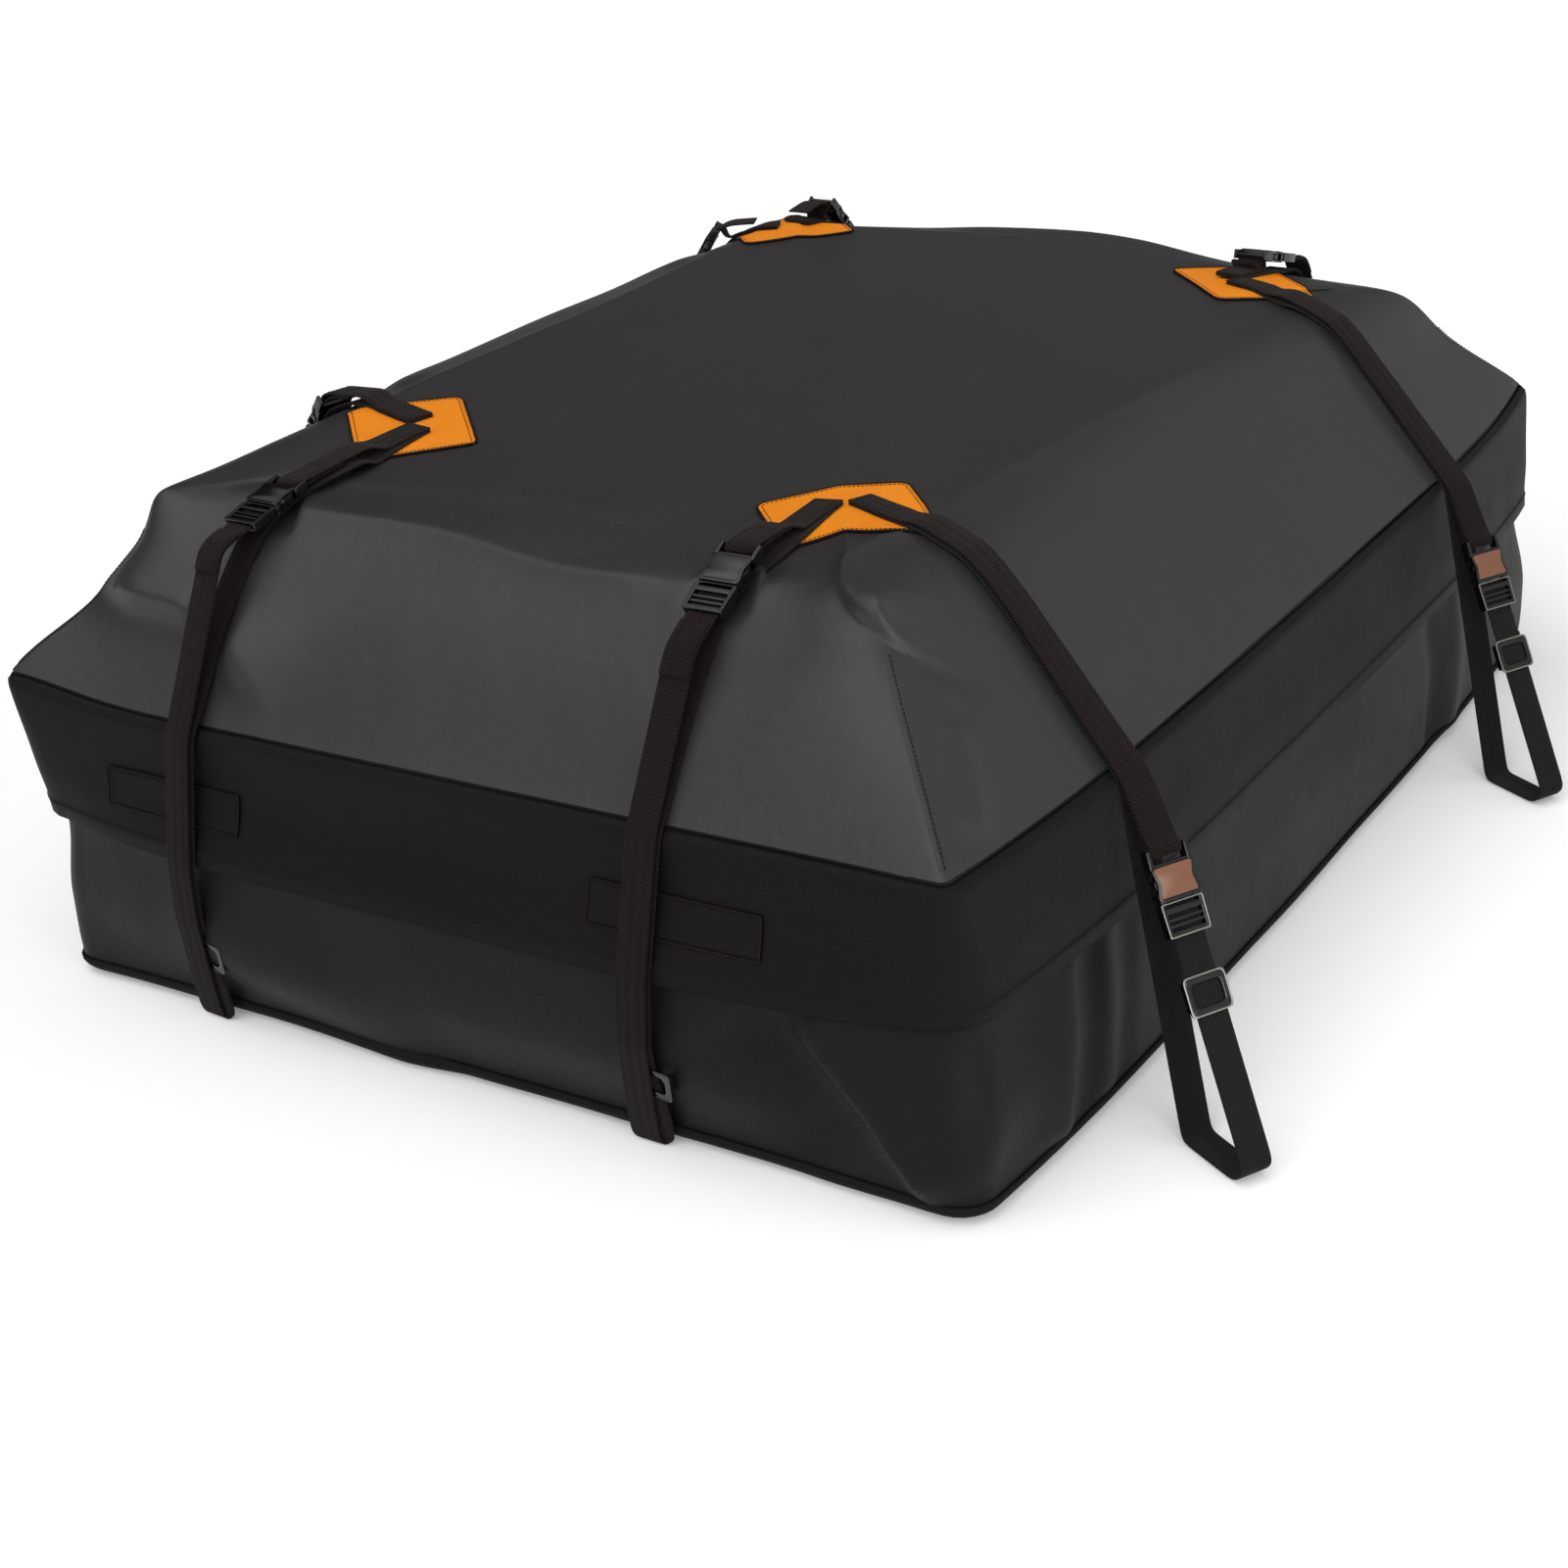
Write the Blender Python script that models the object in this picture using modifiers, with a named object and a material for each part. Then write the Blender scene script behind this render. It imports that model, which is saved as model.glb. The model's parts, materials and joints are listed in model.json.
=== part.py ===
"""Soft rooftop cargo carrier: a strapped-down bag of coated cloth with a storm flap over its zip.

The bag's base stands on z = 0 with the origin at the base's centre, +X to the bag's right,
-Y to its front and +Z up. All sizes are in metres.
"""

import math
from dataclasses import dataclass

import bmesh
import bpy
from mathutils import Matrix, Vector
from mathutils.bvhtree import BVHTree

# Bag
BASE_WIDTH = 0.864
BASE_LENGTH = 1.120
SEAM_HEIGHT = 0.257
FOOT_SWELL = 0.012
SEAM_CORNER_IN_X = 0.014
SEAM_CORNER_IN_Y = 0.008
TOP_CENTRE_HEIGHT = 0.402
END_STATIONS = 14
SIDE_STATIONS = 18

# Zip and its storm flap
GROOVE_TOP_BELOW_SEAM = 0.012
GROOVE_HEIGHT = 0.039
GROOVE_DEPTH = 0.006
GROOVE_LIP = 0.002
FLAP_THICKNESS = 0.0016
FLAP_TOP_BELOW_SEAM = 0.0035
FLAP_ROLL = 0.004
FLAP_DROP = 0.108
FLAP_STANDOFF_LOW = 0.0085
FLAP_STANDOFF_MIDDLE = 0.0070
FLAP_STANDOFF_HIGH = 0.0055
FLAP_STANDOFF_ROLL = 0.0042
CHAIN_HEIGHT = 0.022
CHAIN_THICKNESS = 0.0018
SLIDER_WIDTH = 0.013
SLIDER_LENGTH = 0.018
SLIDER_THICKNESS = 0.0058
SLIDER_FROM_CENTRE = 0.026
PULL_WIDTH = 0.008
PULL_LENGTH = 0.020
PULL_THICKNESS = 0.0014

# Sewn trim
BINDING_START = 0.0024
BINDING_TOP = 0.0155
BINDING_THICKNESS = 0.0022
BINDING_FOOT = 0.002
PATCH_LENGTH = 0.130
PATCH_WIDTH = 0.096
PATCH_CORNER = 0.012
PATCH_THICKNESS = 0.0014
PATCH_LIFT = 0.0012
PATCH_FORWARD = {"front_left": 0.0, "front_right": 0.006, "rear_right": 0.0, "rear_left": -0.020}
KEEPER_LENGTH = 0.138
KEEPER_HEIGHT = 0.030
KEEPER_THICKNESS = 0.0014
KEEPER_CENTRE_HEIGHT = 0.194
KEEPER_SIDE_ROOM = 0.002
KEEPER_STEP = 0.006
KEEPER_SHIFT = {"front_left": 0.018, "front_right": 0.022, "rear_right": 0.0, "rear_left": 0.0}

# Webbing: its layers, and how far aside of the upper layer the lower one lies
WEB_WIDTH = 0.025
WEB_THICKNESS = 0.0018
WEB_LIFT = 0.0015
WEB_LAYER_GAP = 0.0026
WEB_BEND = 0.012
WEB_SHARP_TURN = math.radians(9)
LAYER_SHIFT = 0.010
SHIFT_RUN = 0.10
STRAP_END_GAP = 0.0026
SEWN_GAP = 0.0006
SEWN_START = 0.007
SEWN_RISE = 0.020
SEWN_TAIL = 0.036
TAIL_RISE = 0.006

# Buckles and tri-glides
BUCKLE_WIDTH = 0.034
BUCKLE_THICKNESS = 0.0098
SOCKET_LENGTH = 0.036
SOCKET_WALL = 0.0018
SOCKET_BAR = 0.0045
SOCKET_SLOT = 0.0060
PLUG_LENGTH = 0.024
PRONG_LENGTH = 0.023
PRONG_WIDTH = 0.0060
PLUG_BAR = 0.0038
TRIGLIDE_LENGTH = 0.028
TRIGLIDE_THICKNESS = 0.0062
TRIGLIDE_BAR = 0.0036
PLUG_TRAVEL = 0.026
TRIGLIDE_TRAVEL = 0.015
FITTING_LIFT = 0.0026
GLIDE_LIFT = 0.0014
STRAIGHT_SPARE = 0.006

# Where the fittings sit: lengths along a strap from its patch, and heights
BUCKLE_PLACES = {
    "front_left_end": 0.188,
    "front_left_side": 0.170,
    "front_right_end": 0.172,
    "rear_right_end": 0.095,
    "rear_left_end": 0.090,
    "rear_left_side": 0.105,
}
END_GLIDE_HEIGHT = 0.070
SIDE_GLIDE_HEIGHT = 0.120

# Loops of webbing beyond the base's long sides, and the straps that lean in from the right-hand ones
LOOP_REACH = 0.137
LOOP_WIDTH = 0.070
LOOP_KNEE_HEIGHT = 0.013
LOW_LEAN = math.radians(27.5)
LOW_MOUTH = 0.188
LOW_GLIDE_FROM_MOUTH = 0.066

# Where a strap's foot turns back, and how a tight line is found
FOOT_TURN_HEIGHT = 0.0045
FOOT_ZONE = 0.025
FLOOR_GAP = 0.0007
WEB_END_FROM_MOUTH = 0.003
TURN_REACH = 0.025
SEAM_SWELL = 0.019
CONTACT_CENTRE_HEIGHT = 0.12
CONTACT_REACH = 0.60
CONTACT_STEPS = 150
CONTACT_TOLERANCE = 0.0003

CLEARANCE = 0.0004
FAR = 0.05


@dataclass(frozen=True)
class WallLevel:
    """One height of the wall: how far in from the base's its corner lies, and how its sides swell."""

    height: float
    corner_in_x: float
    corner_in_y: float
    corner_radius: float
    swell_x: float
    swell_y: float


@dataclass(frozen=True)
class Shoulder:
    """The slope between seam and top: how far in and how high its low part, its bend and its crest are."""

    low_in: float
    low_height: float
    bend_in: float
    bend_height: float
    crest_in: float
    crest_height: float


@dataclass(frozen=True)
class StrapRun:
    """One strap pair: its level direction in degrees over the top and below the seam, and the bag under it.

    The height of the top and how far in its crest lies shape the bag there. The lean carries the foot aside.
    """

    angle: float
    low_angle: float
    top: float
    crest_in: float
    lean: float


@dataclass(frozen=True)
class Corner:
    """One corner of the bag: its signs, its diagonal shoulder, and the two strap pairs of its patch."""

    name: str
    sign_x: int
    sign_y: int
    knee: Shoulder
    patch_at: tuple
    end: StrapRun
    side: StrapRun

    def run(self, to_end):
        return self.end if to_end else self.side


WALL_LEVELS = [
    WallLevel(0.000, 0.010, 0.014, 0.024, 0.010, -0.004),
    WallLevel(FOOT_SWELL, 0.002, 0.006, 0.026, 0.012, -0.004),
    WallLevel(0.070, 0.000, 0.004, 0.034, 0.013, 0.014),
    WallLevel(0.140, 0.009, 0.010, 0.036, 0.018, 0.022),
    WallLevel(0.200, 0.010, 0.009, 0.024, 0.018, 0.003),
    WallLevel(SEAM_HEIGHT, SEAM_CORNER_IN_X, SEAM_CORNER_IN_Y, 0.006, 0.020, 0.000),
]

FRONT_MID = Shoulder(0.068, 0.345, 0.125, 0.382, 0.190, 0.394)
RIGHT_MID = Shoulder(0.060, 0.328, 0.115, 0.376, 0.165, 0.392)
REAR_MID = Shoulder(0.035, 0.340, 0.065, 0.395, 0.120, 0.405)
LEFT_MID = Shoulder(0.035, 0.345, 0.068, 0.397, 0.130, 0.412)
STRAP_LOW_SHARE, STRAP_LOW_DROP = 0.33, 0.070
STRAP_BEND_SHARE, STRAP_BEND_DROP = 0.65, 0.022
STRAP_CREST_DROP = 0.008
CORNER_SHARE = 0.985

FRONT_KNEE = Shoulder(0.076, 0.352, 0.100, 0.398, 0.150, 0.398)
REAR_RIGHT_KNEE = Shoulder(0.050, 0.312, 0.083, 0.360, 0.125, 0.377)
REAR_LEFT_KNEE = Shoulder(0.050, 0.332, 0.075, 0.390, 0.105, 0.402)
CORNERS = [
    Corner(
        name="front_left",
        sign_x=-1,
        sign_y=-1,
        knee=FRONT_KNEE,
        patch_at=(-0.213, -0.262),
        end=StrapRun(angle=-94.0, low_angle=-94.0, top=0.402, crest_in=0.170, lean=-0.028),
        side=StrapRun(angle=166.0, low_angle=178.0, top=0.418, crest_in=0.130, lean=0.0),
    ),
    Corner(
        name="front_right",
        sign_x=1,
        sign_y=-1,
        knee=FRONT_KNEE,
        patch_at=(0.198, -0.295),
        end=StrapRun(angle=-91.0, low_angle=-91.0, top=0.400, crest_in=0.160, lean=-0.032),
        side=StrapRun(angle=-12.0, low_angle=-30.0, top=0.400, crest_in=0.165, lean=0.0),
    ),
    Corner(
        name="rear_right",
        sign_x=1,
        sign_y=1,
        knee=REAR_RIGHT_KNEE,
        patch_at=(0.200, 0.374),
        end=StrapRun(angle=84.0, low_angle=84.0, top=0.390, crest_in=0.110, lean=0.0),
        side=StrapRun(angle=-20.0, low_angle=-30.0, top=0.390, crest_in=0.155, lean=0.0),
    ),
    Corner(
        name="rear_left",
        sign_x=-1,
        sign_y=1,
        knee=REAR_LEFT_KNEE,
        patch_at=(-0.305, 0.421),
        end=StrapRun(angle=84.0, low_angle=84.0, top=0.405, crest_in=0.095, lean=0.0),
        side=StrapRun(angle=205.0, low_angle=205.0, top=0.408, crest_in=0.090, lean=0.0),
    ),
]

HALF_X, HALF_Y = BASE_WIDTH / 2, BASE_LENGTH / 2
SEAM_X, SEAM_Y = HALF_X - SEAM_CORNER_IN_X, HALF_Y - SEAM_CORNER_IN_Y
GROOVE_TOP = SEAM_HEIGHT - GROOVE_TOP_BELOW_SEAM
GROOVE_BOTTOM = GROOVE_TOP - GROOVE_HEIGHT
FLAP_TOP = SEAM_HEIGHT - FLAP_TOP_BELOW_SEAM
FLAP_HEM = SEAM_HEIGHT - FLAP_DROP
FLAP_MIDDLE = (FLAP_HEM + GROOVE_BOTTOM) / 2
FLAP_HEIGHTS = [FLAP_HEM, FLAP_MIDDLE, GROOVE_BOTTOM, GROOVE_TOP, FLAP_TOP - FLAP_ROLL, FLAP_TOP]
FLAP_STANDOFFS = [
    FLAP_STANDOFF_LOW,
    FLAP_STANDOFF_LOW,
    FLAP_STANDOFF_MIDDLE,
    FLAP_STANDOFF_HIGH,
    FLAP_STANDOFF_ROLL,
    CLEARANCE,
]

WEB_ROOM = WEB_WIDTH / 2 + CLEARANCE * 2
WEB_WINDOW = WEB_THICKNESS / 2 + CLEARANCE
HALF_BUCKLE = BUCKLE_WIDTH / 2
PLUG_HALF_THICKNESS = BUCKLE_THICKNESS / 2 - SOCKET_WALL / 2
CAVITY_HALF_WIDTH = HALF_BUCKLE - SOCKET_WALL
OVER_GLIDE = TRIGLIDE_THICKNESS / 2 + WEB_THICKNESS / 2 + CLEARANCE * 2


def smooth_table(keys, rows, key):
    """Values at a key on one smooth curve through rows of numbers, held flat beyond both ends."""
    if key <= keys[0]:
        return rows[0]
    if key >= keys[-1]:
        return rows[-1]
    i = max(k for k in range(len(keys) - 1) if keys[k] <= key)

    def secant(k, column):
        k = min(max(k, 0), len(keys) - 2)
        return (rows[k + 1][column] - rows[k][column]) / (keys[k + 1] - keys[k])

    def slope(k, column):
        """The curve's slope at a row, held down where the rows turn so that it never runs past them."""
        before, after = secant(k - 1, column), secant(k, column)
        if before * after <= 0:
            return 0.0
        low, high = max(k - 1, 0), min(k + 1, len(keys) - 1)
        middle = (rows[high][column] - rows[low][column]) / (keys[high] - keys[low])
        return math.copysign(min(abs(middle), 3 * abs(before), 3 * abs(after)), middle)

    span = keys[i + 1] - keys[i]
    t = (key - keys[i]) / span
    values = []
    for column in range(len(rows[0])):
        a, b = rows[i][column], rows[i + 1][column]
        tangent_a, tangent_b = slope(i, column) * span, slope(i + 1, column) * span
        values.append(
            (2 * t**3 - 3 * t**2 + 1) * a
            + (t**3 - 2 * t**2 + t) * tangent_a
            + (3 * t**2 - 2 * t**3) * b
            + (t**3 - t**2) * tangent_b
        )
    return values


def side_axes(side):
    """The directions along and out of one side: 0 front, 1 right, 2 rear, 3 left."""
    out = (Vector((0, -1, 0)), Vector((1, 0, 0)), Vector((0, 1, 0)), Vector((-1, 0, 0)))[side % 4]
    return Vector((-out.y, out.x, 0)), out


def stations():
    """Places round the bag, each a side and how far along it from -1 to 1, or None at a corner."""
    places = []
    for side in range(4):
        count = END_STATIONS if side % 2 == 0 else SIDE_STATIONS
        places.append((side, None))
        places += [(side, math.sin(math.pi / 2 * (2 * i / (count - 1) - 1))) for i in range(count)]
    return places


def wall_point(station, height, out=0.0):
    """A point of the wall at a height, moved straight out of its side."""
    side, along = station
    keys = [level.height for level in WALL_LEVELS]
    rows = [(w.corner_in_x, w.corner_in_y, w.corner_radius, w.swell_x, w.swell_y) for w in WALL_LEVELS]
    in_x, in_y, radius, swell_x, swell_y = smooth_table(keys, rows, height)
    half_x, half_y = HALF_X - in_x, HALF_Y - in_y
    along_axis, out_axis = side_axes(side)
    if along is None:
        before_axis = side_axes(side - 1)[1]
        diagonal = before_axis + out_axis
        centre = Vector((diagonal.x * (half_x - radius), diagonal.y * (half_y - radius), height))
        return centre + diagonal.normalized() * (radius + out)
    if side % 2 == 0:
        half_along, half_out, swell = half_x, half_y, swell_y
    else:
        half_along, half_out, swell = half_y, half_x, swell_x
    distance = half_out + swell * (1 - along**4) + out
    point = along_axis * along * (half_along - radius) + out_axis * distance
    point.z = height
    return point


def strap_direction(corner, to_end):
    """The level direction in which a strap leaves the middle of its patch."""
    angle = math.radians(corner.run(to_end).angle)
    return Vector((math.cos(angle), math.sin(angle), 0))


def on_strap_line(corner, to_end, out_axis, distance):
    """The point of a strap's line, seen from above, at a distance out from the bag's middle."""
    start, direction = Vector((*corner.patch_at, 0)), strap_direction(corner, to_end)
    return start + direction * ((distance - start.dot(out_axis)) / direction.dot(out_axis))


def round_place(point, side):
    """How far round the bag a point of a side lies, counted in sides from the front left corner."""
    along_axis = side_axes(side)[0]
    half = SEAM_X if side % 2 == 0 else SEAM_Y
    return side + (point.dot(along_axis) / half + 1) / 2


def shoulder_knots():
    """Low, bend and crest points round the top: at each corner, under each strap and mid side."""
    knots = []
    for side, shoulder in enumerate((FRONT_MID, RIGHT_MID, REAR_MID, LEFT_MID)):
        out_axis = side_axes(side)[1]
        half_out = SEAM_Y if side % 2 == 0 else SEAM_X
        row = []
        for inward, height in shoulder_points(shoulder):
            row += [*(out_axis * (half_out - inward)).xy, height]
        knots.append((side + 0.5, row))
    for place, corner in enumerate(CORNERS):
        row = []
        for inward, height in shoulder_points(corner.knee):
            row += [corner.sign_x * (SEAM_X - inward), corner.sign_y * (SEAM_Y - inward), height]
        knots.append((float(place), row))
        for to_end, half_out in ((True, SEAM_Y), (False, SEAM_X)):
            side = (0 if corner.sign_y < 0 else 2) if to_end else (1 if corner.sign_x > 0 else 3)
            out_axis, run = side_axes(side)[1], corner.run(to_end)
            shoulder = Shoulder(
                run.crest_in * STRAP_LOW_SHARE,
                run.top - STRAP_LOW_DROP,
                run.crest_in * STRAP_BEND_SHARE,
                run.top - STRAP_BEND_DROP,
                run.crest_in,
                run.top - STRAP_CREST_DROP,
            )
            row = []
            for inward, height in shoulder_points(shoulder):
                row += [*on_strap_line(corner, to_end, out_axis, half_out - inward).xy, height]
            knots.append((round_place(on_strap_line(corner, to_end, out_axis, half_out), side), row))
    knots.sort()
    first, last = knots[:2], knots[-2:]
    return [(u - 4, k) for u, k in last] + knots + [(u + 4, k) for u, k in first]


def shoulder_points(shoulder):
    return (
        (shoulder.low_in, shoulder.low_height),
        (shoulder.bend_in, shoulder.bend_height),
        (shoulder.crest_in, shoulder.crest_height),
    )


def top_point(station, knots, part_way):
    """A point of the top: part_way runs from 0 at the seam over 1 at the crest to 2 at the middle."""
    side, along = station
    place = float(side) if along is None else side + (along * CORNER_SHARE + 1) / 2
    values = smooth_table([u for u, _ in knots], [k for _, k in knots], place)
    if part_way <= 1:
        rows = [tuple(wall_point(station, SEAM_HEIGHT)), values[0:3], values[3:6], values[6:9]]
        return Vector(smooth_table([0.0, 0.4, 0.7, 1.0], rows, part_way))
    crest = Vector(values[6:9])
    inward = part_way - 1
    point = crest.lerp(Vector((0, 0, crest.z)), inward)
    point.z += (TOP_CENTRE_HEIGHT - crest.z) * (1 - (1 - inward) ** 2.5)
    return point


def clear_scene():
    for obj in list(bpy.data.objects):
        bpy.data.objects.remove(obj, do_unlink=True)


def collection(name, shown):
    made = bpy.data.collections.new(name)
    made.hide_render = not shown
    bpy.context.scene.collection.children.link(made)
    return made


def material(name, colour, roughness, metallic=0.0):
    made = bpy.data.materials.new(name)
    made.use_nodes = True
    shader = made.node_tree.nodes["Principled BSDF"]
    shader.inputs["Base Color"].default_value = (*colour, 1)
    shader.inputs["Roughness"].default_value = roughness
    shader.inputs["Metallic"].default_value = metallic
    return made


def add_object(name, mesh, surface, group):
    obj = bpy.data.objects.new(name, mesh)
    obj.data.materials.clear()
    obj.data.materials.append(surface)
    group.objects.link(obj)
    return obj


def mesh_from_rings(name, rings, closed_round, cap_ends):
    """A mesh lofted through rings that hold as many points each, listed so that its faces look out."""
    work = bmesh.new()
    rows = [[work.verts.new(point) for point in ring] for ring in rings]
    steps = len(rows[0]) if closed_round else len(rows[0]) - 1
    for low, high in zip(rows, rows[1:]):
        for i in range(steps):
            j = (i + 1) % len(low)
            work.faces.new((low[i], low[j], high[j], high[i]))
    if cap_ends:
        for row, turn in ((rows[0], -1), (rows[-1], 1)):
            middle = work.verts.new(sum((v.co for v in row), Vector()) / len(row))
            for i in range(len(row)):
                pair = (row[i], row[(i + 1) % len(row)])[::turn]
                work.faces.new((*pair, middle))
    made = bpy.data.meshes.new(name)
    work.to_mesh(made)
    work.free()
    return made


def thicken(obj, thickness, offset):
    """Gives an open surface its thickness: offset 1 grows it out of its faces and 0 both ways."""
    solid = obj.modifiers.new("thickness", "SOLIDIFY")
    solid.thickness = thickness
    solid.offset = offset
    solid.use_even_offset = True
    solid.use_quality_normals = True


def groove_depth(station):
    """The zip's groove runs along the front and both long sides and ends at the rear corners."""
    side, along = station
    return 0.0 if side == 2 and along is not None else GROOVE_DEPTH


def build_bag(group, surface):
    """The packed bag: one soft closed body from its flat base over the seam to the sagging top."""
    places, knots = stations(), shoulder_knots()
    below = [0.0, FOOT_SWELL, BINDING_TOP, 0.04, 0.075, 0.112, FLAP_HEM, FLAP_MIDDLE, GROOVE_BOTTOM]
    rings = [[wall_point(place, height) for place in places] for height in below]
    for height in (GROOVE_BOTTOM + GROOVE_LIP, GROOVE_TOP - GROOVE_LIP):
        rings.append([wall_point(place, height, -groove_depth(place)) for place in places])
    rings += [[wall_point(place, height) for place in places] for height in (GROOVE_TOP, SEAM_HEIGHT)]
    for part_way in (0.15, 0.3, 0.4, 0.5, 0.6, 0.7, 0.85, 1.0, 1.25, 1.55, 1.8):
        rings.append([top_point(place, knots, part_way) for place in places])
    obj = add_object("bag_body", mesh_from_rings("bag_body", rings, True, True), surface, group)
    obj.data.shade_smooth()
    return obj


def build_flap(group, surface):
    """The storm flap, sewn below the seam all round, with its hem standing off the wall."""
    rings = []
    for height, out in zip(FLAP_HEIGHTS, FLAP_STANDOFFS):
        rings.append([wall_point(place, height, out) for place in stations()])
    obj = add_object("storm_flap", mesh_from_rings("storm_flap", rings, True, False), surface, group)
    thicken(obj, FLAP_THICKNESS, 1)
    return obj


def build_binding(group, surface):
    """The bound edge round the base."""
    heights = [BINDING_START, FOOT_SWELL, BINDING_TOP]
    rings = [[wall_point(place, h, CLEARANCE) for place in stations()] for h in heights]
    obj = add_object("base_binding", mesh_from_rings("base_binding", rings, True, False), surface, group)
    thicken(obj, BINDING_THICKNESS, 1)
    return obj


def build_zip(group, chain_surface, slider_surface):
    """The zip under the flap: its chain on three sides, and two sliders with pulls that meet mid front."""
    places = stations()
    start = next(i for i, place in enumerate(places) if place[0] == 3)
    run = places[start:] + [place for place in places if place[0] in (0, 1)] + [(2, None)]
    middle = (GROOVE_TOP + GROOVE_BOTTOM) / 2
    chain_out = -GROOVE_DEPTH + CLEARANCE
    heights = (middle - CHAIN_HEIGHT / 2, middle + CHAIN_HEIGHT / 2)
    rows = [[wall_point(place, h, chain_out) for place in run] for h in heights]
    chain = add_object("zip_chain", mesh_from_rings("zip_chain", rows, False, False), chain_surface, group)
    thicken(chain, CHAIN_THICKNESS, 1)
    front = min(wall_point((0, 0.0), height).y for height in heights)
    slider_back = front - (chain_out + CHAIN_THICKNESS + CLEARANCE)
    for name, sign in (("left", -1), ("right", 1)):
        size = (SLIDER_LENGTH, SLIDER_THICKNESS, SLIDER_WIDTH)
        slider = add_box(f"zip_slider_{name}", size, slider_surface, group, bevel=0.001)
        slider.location = (sign * SLIDER_FROM_CENTRE, slider_back - SLIDER_THICKNESS / 2, middle)
        size = (PULL_WIDTH, PULL_THICKNESS, PULL_LENGTH)
        pull = add_box(f"zip_pull_{name}", size, slider_surface, group, bevel=0.0004)
        pull.data.transform(Matrix.Translation((0, 0, -PULL_LENGTH / 2 + PULL_THICKNESS)))
        pull_y = slider_back - SLIDER_THICKNESS - CLEARANCE - PULL_THICKNESS / 2
        pull.location = (sign * SLIDER_FROM_CENTRE, pull_y, middle - SLIDER_WIDTH / 2)


def box_mesh(name, low, high):
    """A box between two corners."""
    work = bmesh.new()
    bmesh.ops.create_cube(work, size=1)
    size = Vector(high) - Vector(low)
    bmesh.ops.scale(work, vec=size, verts=work.verts)
    bmesh.ops.translate(work, vec=(Vector(low) + Vector(high)) / 2, verts=work.verts)
    made = bpy.data.meshes.new(name)
    work.to_mesh(made)
    work.free()
    return made


def add_box(name, size, surface, group, bevel):
    half = Vector(size) / 2
    obj = add_object(name, box_mesh(name, -half, half), surface, group)
    edge = obj.modifiers.new("edge", "BEVEL")
    edge.width = bevel
    edge.segments = 1
    return obj


def carve(base, group, boxes, operation):
    """Cuts boxes from an object, or joins them to it."""
    for number, (low, high) in enumerate(boxes):
        name = f"{base.name}_{operation.lower()}_{number}"
        other = bpy.data.objects.new(name, box_mesh(name, low, high))
        other.hide_render = True
        other.display_type = "WIRE"
        group.objects.link(other)
        step = base.modifiers.new(name, "BOOLEAN")
        step.operation = operation
        step.object = other
        step.solver = "EXACT"


def fixed_mesh(name, base):
    """The finished mesh of a carved object, for every copy to share."""
    graph = bpy.context.evaluated_depsgraph_get()
    made = bpy.data.meshes.new_from_object(base.evaluated_get(graph))
    made.name = name
    return made


def carved_fitting(name, size_low, size_high, bevel, joined, cut, helpers):
    """A moulded fitting: a block with soft edges, with boxes joined to it and cut from it."""
    base = bpy.data.objects.new(f"{name}_form", box_mesh(name, size_low, size_high))
    base.hide_render = True
    base.display_type = "WIRE"
    helpers.objects.link(base)
    edge = base.modifiers.new("edge", "BEVEL")
    edge.width = bevel
    edge.segments = 2
    carve(base, helpers, joined, "UNION")
    carve(base, helpers, cut, "DIFFERENCE")
    bpy.context.view_layer.update()
    return fixed_mesh(name, base)


def socket_mesh(helpers):
    """The buckle's socket: its mouth at x = 0, its body towards -x and its webbing bar at the far end."""
    half = BUCKLE_THICKNESS / 2
    bar_end = -SOCKET_LENGTH + SOCKET_BAR
    slot_end = bar_end + SOCKET_SLOT
    cavity_half, cavity_end = PLUG_HALF_THICKNESS + CLEARANCE, slot_end + SOCKET_WALL
    window_start = -PRONG_LENGTH * 0.8
    cut = [
        ((cavity_end, -CAVITY_HALF_WIDTH, -cavity_half), (FAR, CAVITY_HALF_WIDTH, cavity_half)),
        ((bar_end, -WEB_ROOM, -FAR), (slot_end, WEB_ROOM, FAR)),
        ((-FAR * 2, -WEB_ROOM, WEB_WINDOW), (bar_end + CLEARANCE, WEB_ROOM, FAR)),
        ((-FAR * 2, -WEB_ROOM, -FAR), (bar_end + CLEARANCE, WEB_ROOM, -WEB_WINDOW)),
        ((window_start, -FAR, -cavity_half * 0.75), (window_start * 0.45, FAR, cavity_half * 0.75)),
    ]
    low = (-SOCKET_LENGTH, -HALF_BUCKLE, -half)
    return carved_fitting("buckle_socket", low, (0, HALF_BUCKLE, half), 0.0018, [], cut, helpers)


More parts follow.
